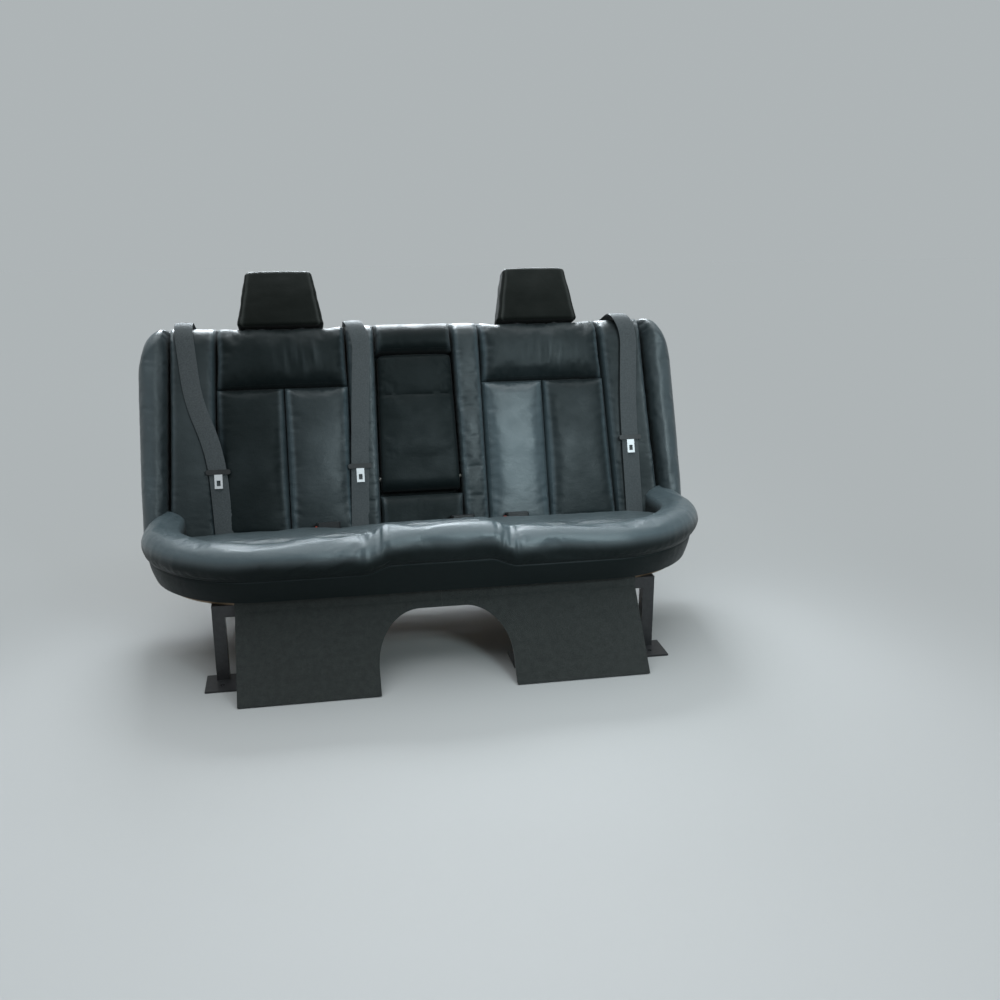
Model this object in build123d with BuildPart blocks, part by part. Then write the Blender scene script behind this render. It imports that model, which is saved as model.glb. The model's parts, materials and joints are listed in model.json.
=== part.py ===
from build123d import *
import os
from math import cos, radians, sin

os.makedirs("parts", exist_ok=True)

# Three-place rear bench of a stretched saloon, with its base frame, folding armrest and belts.
# X runs to the right seen from the front, the front faces -Y and +Z is up.
# The origin is on the floor, at the centre of the outer floor bolts.

# Overall sizes
bench_width = 1470.0  # across the cushion
recline = 20.0  # lean of the back from upright, degrees
back_height = 563.0  # along the leaning face, bight line to top
bight_height = 265.0  # line where back and cushion meet, above the floor
seam_gap = 0.3  # from a soft piece to the middle of its seam

# Back: widths at top and foot, measured inwards from the outer edge
back_thickness = 105.0
back_tuck = 20.0  # how far the back reaches below the bight line
bolster_beyond = 5.0  # foot of the bolster outside the cushion
bolster_lean = 8.0
bolster_width = (72.0, 57.0)
wing_width = (122.0, 127.0)
center_half = 187.0
groove = 1.2  # sewn seam between the pads of one place
pad_depth = 22.0
pad_round = 12.0
shoulder_height = 168.0
shoulder_overhang = 8.0
shoulder_round = 16.0
wing_rise = 25.0
bolster_rise = 50.0
bolster_corner = 90.0

# Cushion
corner_radius = 300.0
roll_radius = 52.0
roll_rise = 38.0  # middle of the roll above the bight line
roll_steps = 8  # straight lengths, mitred, that make one corner of the roll
fascia_lean = 27.0
fascia_inset = 3.0
fascia_overhang = 17.0  # foot of the fascia ahead of the riser
seat_front_rise = 84.0  # seat surface above the bight line, over the middle of the roll
hump_rise = 21.0
hump_top = 236.0
hump_foot = 380.0
hump_stop = 60.0  # where the hump fades out, ahead of the bight line
cushion_clearance = 1.0
notch_clearance = 3.0

# Armrest, its opening and its hinge
armrest_half_top = 103.0
armrest_half_foot = 111.0
armrest_gap = 6.0
armrest_tip_gap = 8.0
armrest_thickness = 72.0
armrest_recess = 4.0
armrest_edge_round = 10.0
niche_gap = 9.0  # behind the stowed armrest
head_band = 77.0  # top of the back down to the opening
opening_foot = 83.0
opening_foot_round = 20.0
pivot_level = 132.0
pin_radius = 6.0
pin_clearance = 0.3
ear_thickness = 4.0
ear_height = 60.0
ear_front = 18.0  # depth of the ear's front edge behind the face
bracket_sheet = 2.0
pocket_gap = 0.6

# Headrests
headrest_width = (172.0, 232.0)  # top and foot
headrest_depth = (60.0, 90.0)
headrest_height = 148.0
headrest_lift = 8.0  # pad above the top of the back when pushed down
headrest_corner = 18.0
headrest_crown = 12.0
post_radius = 5.0
post_spacing = 110.0
post_depth = 50.0  # behind the face
post_reach = 128.0  # below the top of the back
post_grip = 30.0  # inside the pad
guide_radius = 9.0
guide_clearance = 0.3
guide_length = 136.0
guide_hole_clearance = 2.0
collar_radius = 16.0
collar_height = 3.0

# Base frame and boards
tube = 30.0
base_top = 198.0
frame_depth = 440.0  # between the middles of front and rear rail
leg_inset = 195.0  # outer legs inside the cushion's width
leg_inner = 215.0
foot_width = 80.0
foot_length = 90.0
foot_plate = 5.0
bolt_reach = 45.0  # floor bolt in front of or behind its leg
bolt_hole = 11.0
deck_thickness = 12.0
deck_inset = 45.0
deck_rear_gap = 5.0
board_thickness = 8.0
board_edge = 10.0  # board inside the soft outline
board_drop = 8.0  # below the top of the back
rail_end_inset = 5.0  # top rail inside the wing's outer edge

# Carpeted riser and the arch over the floor tunnel
riser_half = 500.0
riser_thickness = 10.0
riser_slope_top = 180.0
riser_toe_reach = 145.0
riser_floor_gap = 3.0
tunnel_half = 165.0
tunnel_height = 165.0
tunnel_corner = 110.0

# Belts and their fittings
webbing_width = 48.0
webbing_thickness = 1.4
belt_over_top = 4.0
belt_bend = 18.0
webbing_off = 5.0  # in front of the wing at the top
center_off = 3.0  # in front of the shoulder pad at the top
side_foot_off = 6.0  # in front of the face at the bight
center_foot_off = 4.0
wing_foot_off = 18.0
retractor_width = 58.0
retractor_height = 66.0
retractor_drop = 25.0  # its top below the top of the board
retractor_sheet = 3.0
spool_radius = 25.0
spool_length = 48.0
throat_depth = 12.0
grip_width = 64.0
grip_height = 13.0
grip_depth = 9.0
grip_slot = 2.6
grip_slot_side = 2.4
blade_width = 21.0
blade_length = 38.0
blade_thickness = 3.0
window_width = 10.0
window_length = 15.0
window_drop = 23.5
anchor_width = 40.0
anchor_sheet = 3.0
anchor_drop = 50.0  # end of the webbing below the bight line

# Buckles, lying along the bight
buckle_places = (-center_half - 75.0, center_half - 82.0, center_half + 71.0)
buckle_length = 62.0
buckle_width = 34.0
buckle_height = 20.0
buckle_corner = 4.0
buckle_from_bight = 8.0
mouth_level = 12.4
mouth_side = 1.8
button_length = 10.0
button_height = 7.0
button_inset = 4.0
button_gap = 0.3
strap_width = 24.0
strap_reach = 26.0
strap_thickness = 2.0

# Planes and places that follow from these sizes
lean_sin = sin(radians(recline))
lean_cos = cos(radians(recline))
board_back = back_thickness + board_thickness
upright_middle = board_back + tube / 2
rail_y = frame_depth / 2
upright_foot = (base_top - bight_height + upright_middle * lean_sin) / lean_cos
bight_y = rail_y - upright_foot * lean_sin - upright_middle * lean_cos
deck_top = base_top + deck_thickness
leg_outer = bench_width / 2 - leg_inset
leg_columns = (-leg_outer, -leg_inner, leg_inner, leg_outer)
riser_y = -rail_y - tube / 2
front_y = riser_y - riser_thickness - fascia_overhang - fascia_lean

back = Plane(origin=(0, bight_y, bight_height), x_dir=(1, 0, 0), z_dir=(0, -lean_cos, lean_sin))
back_side = Plane(origin=back.origin, x_dir=back.z_dir, z_dir=(-1, 0, 0))
forward = Axis(back.origin, back.z_dir)
upward = Axis(back.origin, back.y_dir)
hands = ((-1, "left"), (1, "right"))

# Leaning edges of the back, as distances from the centre line at its top and foot
outer_foot = bench_width / 2 + bolster_beyond
outer_edge = (outer_foot - bolster_lean, outer_foot)
wing_edge = (outer_edge[0] - bolster_width[0], outer_edge[1] - bolster_width[1])
section_edge = (wing_edge[0] - wing_width[0], wing_edge[1] - wing_width[1])
center_edge = (center_half, center_half)
place_middle = (center_half + section_edge[0]) / 2
shoulder_seam = back_height - shoulder_height


def moved(edge, distance):
    """The same leaning edge, moved outwards."""
    return (edge[0] + distance, edge[1] + distance)


def edge_at(edge, s):
    """Distance of a leaning edge from the centre line, s above the bight line."""
    return edge[1] + (edge[0] - edge[1]) * s / back_height


def level(s):
    """Plane square to the back's face, s above the bight line; its y is depth behind the face."""
    return Plane(origin=back.from_local_coords((0, s, 0)), x_dir=(1, 0, 0), z_dir=back.y_dir)


def panel(side, near, far, low, high, mode=Mode.ADD):
    """Face between two leaning edges on one side, from one level up to another."""
    with BuildLine() as outline:
        Polyline(
            (side * edge_at(near, low), low),
            (side * edge_at(far, low), low),
            (side * edge_at(far, high), high),
            (side * edge_at(near, high), high),
            close=True,
        )
    make_face(outline.edges(), mode=mode)


def front_edges(faces):
    """Edges of the face that lies furthest forward of the back."""
    return faces.sort_by(forward)[-1].edges()


def horseshoe(inset):
    """Plan of the cushion, a given distance inside its outermost line."""
    half = bench_width / 2 - inset
    front = front_y + inset
    radius = corner_radius - inset
    rear = bight_y + back_thickness
    with BuildLine() as outline:
        Line((-half, rear), (-half, front + radius))
        RadiusArc((-half, front + radius), (-half + radius, front), -radius)
        Line((-half + radius, front), (half - radius, front))
        RadiusArc((half - radius, front), (half, front + radius), -radius)
        Line((half, front + radius), (half, rear))
        Line((half, rear), (-half, rear))
    make_face(outline.edges())


# Legs with bolted feet
with BuildPart() as floor_legs:
    for leg_x in leg_columns:
        for outward in (-1, 1):
            leg_y = outward * rail_y
            with BuildSketch():
                with Locations((leg_x, leg_y + outward * (foot_length - tube) / 2)):
                    Rectangle(foot_width, foot_length)
                with Locations((leg_x, leg_y + outward * bolt_reach)):
                    Circle(bolt_hole / 2, mode=Mode.SUBTRACT)
            extrude(amount=foot_plate)
            with BuildSketch(Plane.XY.offset(foot_plate)):
                with Locations((leg_x, leg_y)):
                    Rectangle(tube, tube)
            extrude(amount=base_top - tube - foot_plate)
floor_legs.part.label = "floor_legs"
export_step(floor_legs.part, "parts/floor_legs.step")

# Rails of the base
for name, middle in (("front_rail", -rail_y), ("rear_rail", rail_y)):
    with BuildPart() as rail:
        with BuildSketch(Plane.XY.offset(base_top - tube)):
            with Locations((0, middle)):
                Rectangle(2 * leg_outer + tube, tube)
        extrude(amount=tube)
    rail.part.label = name
    export_step(rail.part, f"parts/{name}.step")

with BuildPart() as cross_rails:
    with BuildSketch(Plane.XY.offset(base_top - tube)):
        with Locations(*[(x, 0) for x in leg_columns]):
            Rectangle(tube, frame_depth - tube)
    extrude(amount=tube)
cross_rails.part.label = "cross_rails"
export_step(cross_rails.part, "parts/cross_rails.step")

# Plywood deck, from the front rail to just ahead of the back board
deck_rear = back.from_local_coords((0, -back_tuck, -back_thickness)).Y - deck_rear_gap
with BuildPart() as seat_deck:
    with BuildSketch(Plane.XY.offset(base_top)):
        horseshoe(deck_inset)
        with Locations((0, riser_y)):
            Rectangle(
                bench_width, deck_rear - riser_y, align=(Align.CENTER, Align.MIN), mode=Mode.INTERSECT
            )
    extrude(amount=deck_thickness)
seat_deck.part.label = "seat_deck"
export_step(seat_deck.part, "parts/seat_deck.step")

# Riser: an upright flange against the rail, then a slope down to the floor
toe_y = riser_y - riser_thickness - riser_toe_reach
slope = riser_toe_reach / (riser_slope_top - riser_floor_gap)
toe_width = riser_thickness * (1 + slope**2) ** 0.5
bend_level = riser_slope_top - (toe_width - riser_thickness) / slope
for side, hand in hands:
    with BuildPart() as riser:
        with BuildSketch(Plane.YZ.offset(side * seam_gap)):
            with BuildLine():
                Polyline(
                    (riser_y, deck_top - seam_gap),
                    (riser_y - riser_thickness, deck_top - seam_gap),
                    (riser_y - riser_thickness, riser_slope_top),
                    (toe_y, riser_floor_gap),
                    (toe_y + toe_width, riser_floor_gap),
                    (riser_y, bend_level),
                    close=True,
                )
            make_face()
        extrude(amount=side * (riser_half - seam_gap))
        with BuildSketch(Plane.XZ):
            with Locations((0, -tunnel_height / 2)):
                RectangleRounded(2 * tunnel_half, 3 * tunnel_height, tunnel_corner)
        extrude(amount=2 * frame_depth, mode=Mode.SUBTRACT)
    riser.part.label = f"riser_{hand}"
    export_step(riser.part, f"parts/riser_{hand}.step")

# Back frame: board, four uprights on the rear rail, and the top rail
board_top = back_height - board_drop
with BuildPart() as back_board:
    with BuildSketch(back.offset(-back_thickness)):
        for side, hand in hands:
            panel(side, (0, 0), moved(outer_edge, -board_edge), -back_tuck, board_top)
        top_corners = vertices().group_by(Axis.Y)[-1].sort_by(Axis.X)
        fillet([top_corners[0], top_corners[-1]], bolster_corner)
    extrude(amount=-board_thickness)
back_board.part.label = "back_board"
export_step(back_board.part, "parts/back_board.step")

upright_top = board_top - tube
with BuildPart() as back_uprights:
    with BuildSketch(back.offset(-board_back)):
        with Locations(*[(x, upright_top) for x in leg_columns]):
            Rectangle(tube, 2 * back_height, align=(Align.CENTER, Align.MAX))
    extrude(amount=-tube)
    split(bisect_by=Plane.XY.offset(base_top), keep=Keep.TOP)
back_uprights.part.label = "back_uprights"
export_step(back_uprights.part, "parts/back_uprights.step")

with BuildPart() as top_rail:
    with BuildSketch(back.offset(-board_back)):
        with Locations((0, upright_top)):
            Rectangle(2 * (wing_edge[0] - rail_end_inset), tube, align=(Align.CENTER, Align.MIN))
    extrude(amount=-tube)
top_rail.part.label = "top_rail"
export_step(top_rail.part, "parts/top_rail.step")

# Outer places: two upright channels under an overhanging shoulder pad, on one slab
post_columns = (place_middle - post_spacing / 2, place_middle + post_spacing / 2)
middle_edge = (place_middle, place_middle)
for side, hand in hands:
    near = moved(center_edge, seam_gap)
    far = moved(section_edge, -seam_gap)
    with BuildPart() as back_section:
        with BuildSketch(back.offset(-back_thickness)):
            panel(side, near, far, -back_tuck, back_height)
        extrude(amount=back_thickness - pad_depth)
        for pad_near, pad_far in (
            (near, moved(middle_edge, -groove / 2)),
            (moved(middle_edge, groove / 2), far),
        ):
            with BuildSketch(back.offset(-pad_depth)):
                panel(side, pad_near, pad_far, -back_tuck, shoulder_seam - groove / 2)
            extrude(amount=pad_depth)
            fillet(front_edges(back_section.faces(Select.LAST)), pad_round)
        with BuildSketch(back.offset(-pad_depth)):
            panel(side, near, far, shoulder_seam + groove / 2, back_height)
        extrude(amount=pad_depth + shoulder_overhang)
        fillet(front_edges(back_section.faces(Select.LAST)), shoulder_round)
        with BuildSketch(level(back_height)):
            with Locations(*[(side * x, post_depth) for x in post_columns]):
                Circle(guide_radius + guide_hole_clearance)
        extrude(amount=-guide_length - guide_radius, mode=Mode.SUBTRACT)
    back_section.part.label = f"back_{hand}"
    export_step(back_section.part, f"parts/back_{hand}.step")

# Wings: tapered, rising towards the bolster
for side, hand in hands:
    with BuildPart() as wing:
        for s in (-back_tuck, back_height):
            near = side * (edge_at(section_edge, s) + seam_gap)
            far = side * (edge_at(wing_edge, s) - seam_gap)
            with BuildSketch(level(s)):
                with BuildLine():
                    Polyline(
                        (near, back_thickness),
                        (near, 0),
                        (far, -wing_rise),
                        (far, back_thickness),
                        close=True,
                    )
                make_face()
        loft(ruled=True)
    wing.part.label = f"wing_{hand}"
    export_step(wing.part, f"parts/wing_{hand}.step")


def ridge_plane(side):
    """Plane across the bolster where its outer edge meets the bight; y is depth behind the face."""
    lean = back.y_dir - back.x_dir * (side * bolster_lean / back_height)
    foot = back.from_local_coords((side * outer_foot, 0, 0))
    return Plane(origin=foot, x_dir=lean.cross(back.z_dir), z_dir=lean)


def bolster_section(side, clearance):
    """Ridge of the outer bolster, thicker by a clearance, its outer edge at the plane's origin."""
    outer = side * clearance
    ridge_start = -side * bolster_width[1]
    inner = -side * bolster_width[0]
    with BuildLine() as outline:
        Polyline(
            (outer, -clearance),
            (outer, back_thickness),
            (inner, back_thickness),
            (inner, -wing_rise - clearance),
            (ridge_start, -wing_rise - clearance),
        )
        ThreePointArc(
            (ridge_start, -wing_rise - clearance),
            (ridge_start / 2, -bolster_rise - clearance),
            (outer, -clearance),
        )
    make_face(outline.edges())


# Outer bolsters: a rounded ridge with a large radius at its top outer corner
for side, hand in hands:
    with BuildPart() as bolster:
        with BuildSketch(ridge_plane(side)):
            bolster_section(side, 0)
        extrude(amount=2 * back_height, both=True)
        with BuildSketch(back.offset(-back_thickness)):
            panel(side, (0, 0), outer_edge, -back_tuck, back_height)
            top_corners = vertices().group_by(Axis.Y)[-1].sort_by(Axis.X)
            fillet(top_corners[-1 if side > 0 else 0], bolster_corner)
            panel(side, (0, 0), moved(wing_edge, seam_gap), -back_tuck, back_height, Mode.SUBTRACT)
        extrude(amount=back_thickness + bolster_rise, mode=Mode.INTERSECT)
    bolster.part.label = f"bolster_{hand}"
    export_step(bolster.part, f"parts/bolster_{hand}.step")

# Centre place: head, stiles, foot and the thin pad at the back of the armrest's opening
opening_top = back_height - head_band
opening_half_top = armrest_half_top + armrest_gap
opening_half_foot = armrest_half_foot + armrest_gap
stile_half = center_half - seam_gap
pivot_depth = armrest_recess + armrest_thickness / 2
niche_front = armrest_recess + armrest_thickness + niche_gap
ear_outer = opening_half_foot + ear_thickness

with BuildPart() as center_head:
    with BuildSketch(back.offset(-back_thickness)):
        with Locations((0, opening_top)):
            Rectangle(2 * stile_half, head_band, align=(Align.CENTER, Align.MIN))
    extrude(amount=back_thickness + shoulder_overhang)
    fillet(front_edges(center_head.faces()), shoulder_round)
center_head.part.label = "center_head"
export_step(center_head.part, "parts/center_head.step")

for side, hand in hands:
    with BuildPart() as stile:
        with BuildSketch(back.offset(-back_thickness)):
            with BuildLine():
                Polyline(
                    (side * stile_half, -back_tuck),
                    (side * stile_half, opening_top - 2 * seam_gap),
                    (side * opening_half_top, opening_top - 2 * seam_gap),
                    (side * opening_half_foot, opening_foot),
                    (side * opening_half_foot, -back_tuck),
                    close=True,
                )
            make_face()
        extrude(amount=back_thickness)
        fillet(front_edges(stile.faces()), pad_round)
        with BuildSketch(back.offset(-back_thickness)):
            with Locations((0, pivot_level)):
                Rectangle(2 * (ear_outer + pocket_gap), ear_height + 2 * pocket_gap)
        extrude(amount=back_thickness - ear_front + pocket_gap, mode=Mode.SUBTRACT)
    stile.part.label = f"center_stile_{hand}"
    export_step(stile.part, f"parts/center_stile_{hand}.step")

with BuildPart() as center_foot:
    with BuildSketch(back.offset(-back_thickness)):
        with Locations((0, -back_tuck)):
            Rectangle(
                2 * (opening_half_foot - 2 * seam_gap),
                back_tuck + opening_foot,
                align=(Align.CENTER, Align.MIN),
            )
    extrude(amount=back_thickness)
    fillet(front_edges(center_foot.faces()).sort_by(upward)[-1], opening_foot_round)
center_foot.part.label = "center_foot"
export_step(center_foot.part, "parts/center_foot.step")

with BuildPart() as niche_pad:
    with BuildSketch(back.offset(-back_thickness + bracket_sheet)):
        with Locations((0, (opening_foot + opening_top) / 2)):
            Rectangle(
                2 * (opening_half_top - 2 * seam_gap), opening_top - opening_foot - 4 * seam_gap
            )
    extrude(amount=back_thickness - bracket_sheet - niche_front)
niche_pad.part.label = "niche_pad"
export_step(niche_pad.part, "parts/niche_pad.step")

# Folded bracket behind the niche pad, with an ear in a pocket of each stile
pivot = Plane(
    origin=back.from_local_coords((0, pivot_level, -pivot_depth)), x_dir=back.z_dir, z_dir=(-1, 0, 0)
)
with BuildPart() as armrest_bracket:
    with BuildSketch(back.offset(-back_thickness)):
        with Locations((0, pivot_level)):
            Rectangle(2 * ear_outer, ear_height)
    extrude(amount=back_thickness - ear_front)
    ear_tips = armrest_bracket.edges().filter_by(Axis.X).group_by(forward)[-1]
    fillet(ear_tips, ear_height / 2 - pocket_gap)
    with BuildSketch(back.offset(-back_thickness + bracket_sheet)):
        with Locations((0, pivot_level)):
            Rectangle(2 * opening_half_foot, ear_height)
    extrude(amount=back_thickness, mode=Mode.SUBTRACT)
    with BuildSketch(pivot):
        Circle(pin_radius + pin_clearance)
    extrude(amount=2 * ear_outer, both=True, mode=Mode.SUBTRACT)
armrest_bracket.part.label = "armrest_bracket"
export_step(armrest_bracket.part, "parts/armrest_bracket.step")

# Armrest: a tapered pad with a half-round lower end about its pin
half_thickness = armrest_thickness / 2
tip = opening_top - armrest_tip_gap - pivot_level
with BuildPart() as armrest_pad:
    with BuildSketch(pivot):
        with BuildLine():
            Polyline(
                (half_thickness, 0),
                (half_thickness, tip),
                (-half_thickness, tip),
                (-half_thickness, 0),
            )
            ThreePointArc((-half_thickness, 0), (0, -half_thickness), (half_thickness, 0))
        make_face()
    extrude(amount=armrest_half_foot, both=True)
    with BuildSketch(back.offset(-pivot_depth)):
        with BuildLine():
            Polyline(
                (-armrest_half_foot, 0),
                (armrest_half_foot, 0),
                (armrest_half_foot, opening_foot),
                (armrest_half_top, pivot_level + tip),
                (-armrest_half_top, pivot_level + tip),
                (-armrest_half_foot, opening_foot),
                close=True,
            )
        make_face()
    extrude(amount=armrest_thickness, both=True, mode=Mode.INTERSECT)
    fillet(armrest_pad.edges().filter_by(Axis.X).group_by(upward)[-1], armrest_edge_round)
    with BuildSketch(pivot):
        Circle(pin_radius + seam_gap / 2)
    extrude(amount=armrest_half_foot, both=True, mode=Mode.SUBTRACT)
armrest_pad.part.label = "armrest_pad"
export_step(armrest_pad.part, "parts/armrest_pad.step")

with BuildPart() as armrest_pin:
    with BuildSketch(pivot):
        Circle(pin_radius)
    extrude(amount=ear_outer, both=True)
armrest_pin.part.label = "armrest_pin"
export_step(armrest_pin.part, "parts/armrest_pin.step")

pad_foot = back_height + headrest_lift


def taper(middle, sizes):
    """Upright outline of a headrest about its middle, from its size at the top to that at the foot."""
    pad_top = pad_foot + headrest_height
    with BuildLine() as outline:
        Polyline(
            (middle - sizes[1] / 2, pad_foot),
            (middle + sizes[1] / 2, pad_foot),
            (middle + sizes[0] / 2, pad_top),
            (middle - sizes[0] / 2, pad_top),
            close=True,
        )
    make_face(outline.edges())


# Headrests: tapered pads on two posts that slide in collared guides
for side, hand in hands:
    with BuildPart() as headrest_pad:
        with BuildSketch(back):
            taper(side * place_middle, headrest_width)
        extrude(amount=-headrest_depth[1])
        with BuildSketch(back_side.offset(-side * place_middle)):
            taper(-headrest_depth[1] / 2, headrest_depth)
        extrude(amount=headrest_width[1], both=True, mode=Mode.INTERSECT)
        crown = headrest_pad.faces().sort_by(upward)[-1]
        base = headrest_pad.faces().sort_by(upward)[0]
        chamfer(headrest_pad.edges() - crown.edges() - base.edges(), headrest_corner)
        chamfer(headrest_pad.faces().sort_by(upward)[-1].edges(), headrest_crown)
        with BuildSketch(level(pad_foot)):
            with Locations(*[(side * x, post_depth) for x in post_columns]):
                Circle(post_radius + seam_gap / 2)
        extrude(amount=post_grip + seam_gap, mode=Mode.SUBTRACT)
    headrest_pad.part.label = f"headrest_pad_{hand}"
    export_step(headrest_pad.part, f"parts/headrest_pad_{hand}.step")

    with BuildPart() as headrest_posts:
        with BuildSketch(level(back_height - post_reach)):
            with Locations(*[(side * x, post_depth) for x in post_columns]):
                Circle(post_radius)
        extrude(amount=post_reach + headrest_lift + post_grip)
    headrest_posts.part.label = f"headrest_posts_{hand}"
    export_step(headrest_posts.part, f"parts/headrest_posts_{hand}.step")

guide_places = [(side * x, post_depth) for side, hand in hands for x in post_columns]
with BuildPart() as headrest_guides:
    with BuildSketch(level(back_height)):
        with Locations(*guide_places):
            Circle(collar_radius)
    extrude(amount=collar_height)
    with BuildSketch(level(back_height)):
        with Locations(*guide_places):
            Circle(guide_radius)
    extrude(amount=-guide_length)
    with BuildSketch(level(back_height + collar_height)):
        with Locations(*guide_places):
            Circle(post_radius + guide_clearance)
    extrude(amount=-guide_length - collar_height, mode=Mode.SUBTRACT)
headrest_guides.part.label = "headrest_guides"
export_step(headrest_guides.part, "parts/headrest_guides.step")

# Belts. Columns: name, side, edge and span that place its route, the route as shares of the span
# outwards and of the back's height down from its top, the share outwards where it ends, distance
# of the webbing in front of the face at the top and at the bight, and the share down to the tongue.
belts = (
    (
        "left",
        -1,
        section_edge[0],
        wing_width[0],
        ((0.66, -0.07), (0.66, 0.03), (0.53, 0.35), (0.2, 0.55), (0.07, 0.7)),
        -0.02,
        wing_rise + webbing_off,
        side_foot_off,
        0.7,
    ),
    (
        "center",
        -1,
        0,
        center_half,
        ((0.94, -0.14), (0.92, -0.05), (0.78, 0.08), (0.845, 0.38), (0.9, 0.7)),
        0.95,
        shoulder_overhang + center_off,
        center_foot_off,
        0.7,
    ),
    (
        "right",
        1,
        section_edge[0],
        wing_width[0],
        ((0.41, -0.14), (0.43, -0.05), (0.66, 0.08), (0.54, 0.43), (0.53, 0.62)),
        0.53,
        wing_rise + webbing_off,
        wing_foot_off,
        0.62,
    ),
)
rail_rear = board_back + tube
retractor_top = board_top - retractor_drop
spool_depth = rail_rear + spool_radius
belt_top = back_height + belt_over_top
notch_height = 2 * (roll_radius + roll_rise)


def route_points(side, edge, span, shares, end):
    """Middle line of a belt on the face, as (x, s) from the top down."""
    route = [(side * (edge + span * out), back_height * (1 - down)) for out, down in shares]
    return route + [(side * (edge + span * end), -anchor_drop)]


def route_at(route, s):
    """Middle of a belt's route at level s."""
    for (x_high, s_high), (x_low, s_low) in zip(route, route[1:]):
        if s_low <= s <= s_high:
            return x_low + (x_high - x_low) * (s - s_low) / (s_high - s_low)
    return route[-1][0]


def stand_off(shoulder, foot, s):
    """Distance of the webbing's middle in front of the face at level s."""
    return foot + (shoulder - foot) * s / back_height


with BuildPart() as belt_retractors:
    for name, side, edge, span, shares, end, shoulder, foot, drop in belts:
        x = route_at(route_points(side, edge, span, shares, end), retractor_top)
        with BuildSketch(back.offset(-rail_rear)):
            with Locations((x, retractor_top)):
                Rectangle(retractor_width, retractor_height, align=(Align.CENTER, Align.MAX))
        extrude(amount=-retractor_sheet)
        with BuildSketch(back_side.offset(-x)):
            with Locations((-spool_depth, retractor_top)):
                Rectangle(throat_depth, retractor_height / 2, align=(Align.CENTER, Align.MAX))
                with Locations((0, -retractor_height / 2)):
                    Circle(spool_radius)
        extrude(amount=spool_length / 2, both=True)
belt_retractors.part.label = "belt_retractors"
export_step(belt_retractors.part, "parts/belt_retractors.step")

for name, side, edge, span, shares, end, shoulder, foot, drop in belts:
    with BuildPart() as webbing:
        with BuildSketch(back):
            with BuildLine():
                Polyline(*route_points(side, edge, span, shares, end))
            trace(line_width=webbing_width)
        extrude(amount=2 * spool_depth, both=True)
        with BuildSketch(back_side):
            with BuildLine():
                FilletPolyline(
                    (stand_off(shoulder, foot, -anchor_drop), -anchor_drop),
                    (stand_off(shoulder, foot, belt_top), belt_top),
                    (-spool_depth, belt_top),
                    (-spool_depth, retractor_top),
                    radius=belt_bend,
                )
            trace(line_width=webbing_thickness)
        extrude(amount=bench_width, both=True, mode=Mode.INTERSECT)
    webbing.part.label = f"belt_{name}"
    export_step(webbing.part, f"parts/belt_{name}.step")

# Tongues: a slotted grip threaded on the webbing, and a blade with its window
with BuildPart() as tongue_grips:
    for name, side, edge, span, shares, end, shoulder, foot, drop in belts:
        s = back_height * (1 - drop)
        x = route_at(route_points(side, edge, span, shares, end), s)
        front = stand_off(shoulder, foot, s)
        with BuildSketch(back.offset(front - grip_depth / 2)):
            with Locations((x, s)):
                Rectangle(grip_width, grip_height)
            chamfer(vertices(), grip_height / 4)
        extrude(amount=grip_depth)
        with BuildSketch(back.offset(front - grip_slot / 2)):
            with Locations((x, s)):
                Rectangle(webbing_width + 2 * grip_slot_side, 2 * grip_height)
        extrude(amount=grip_slot, mode=Mode.SUBTRACT)
tongue_grips.part.label = "tongue_grips"
export_step(tongue_grips.part, "parts/tongue_grips.step")

with BuildPart() as tongue_blades:
    for name, side, edge, span, shares, end, shoulder, foot, drop in belts:
        s = back_height * (1 - drop)
        x = route_at(route_points(side, edge, span, shares, end), s)
        blade_top = s - grip_height / 2
        with BuildSketch(back.offset(stand_off(shoulder, foot, s) + grip_slot / 2)):
            with Locations((x, blade_top)):
                Rectangle(blade_width, blade_length, align=(Align.CENTER, Align.MAX))
            with Locations((x, blade_top - window_drop)):
                Rectangle(window_width, window_length, mode=Mode.SUBTRACT)
        extrude(amount=blade_thickness)
tongue_blades.part.label = "tongue_blades"
export_step(tongue_blades.part, "parts/tongue_blades.step")

with BuildPart() as lap_anchors:
    for name, side, edge, span, shares, end, shoulder, foot, drop in belts:
        rear = stand_off(shoulder, foot, -anchor_drop) - webbing_thickness / 2 - seam_gap
        with BuildSketch(back.offset(rear)):
            with Locations((side * (edge + span * end), -back_tuck - pocket_gap)):
                Rectangle(anchor_width, back_thickness, align=(Align.CENTER, Align.MAX))
        extrude(amount=-anchor_sheet)
    split(bisect_by=Plane.XY.offset(deck_top), keep=Keep.TOP)
lap_anchors.part.label = "lap_anchors"
export_step(lap_anchors.part, "parts/lap_anchors.step")

# Cushion: a leaning fascia, the sloped seat, the hump over the tunnel and the roll round them
roll_height = bight_height + roll_rise
roll_front = front_y + roll_radius
roll_half = bench_width / 2 - roll_radius
roll_bend = corner_radius - roll_radius
front_half = roll_half - roll_bend
corner_angles = [radians(90 * k / roll_steps) for k in range(roll_steps + 1)]
roll_left = (
    [(-roll_half, bight_y + tube, 0)]
    + [
        (-front_half - roll_bend * cos(a), roll_front + roll_bend * (1 - sin(a)), 0)
        for a in corner_angles
    ]
    + [(-hump_foot / 2, roll_front, 0), (-hump_top / 2, roll_front, hump_rise)]
)
seat_angle = seat_front_rise / (bight_y - roll_front)
seat = Plane(origin=back.origin, x_dir=(1, 0, 0), z_dir=Vector(0, seat_angle, 1).normalized())
strap_places = [x + (buckle_length + strap_reach) / 2 for x in buckle_places]
strap_notch = strap_width + 2 * notch_clearance


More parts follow.
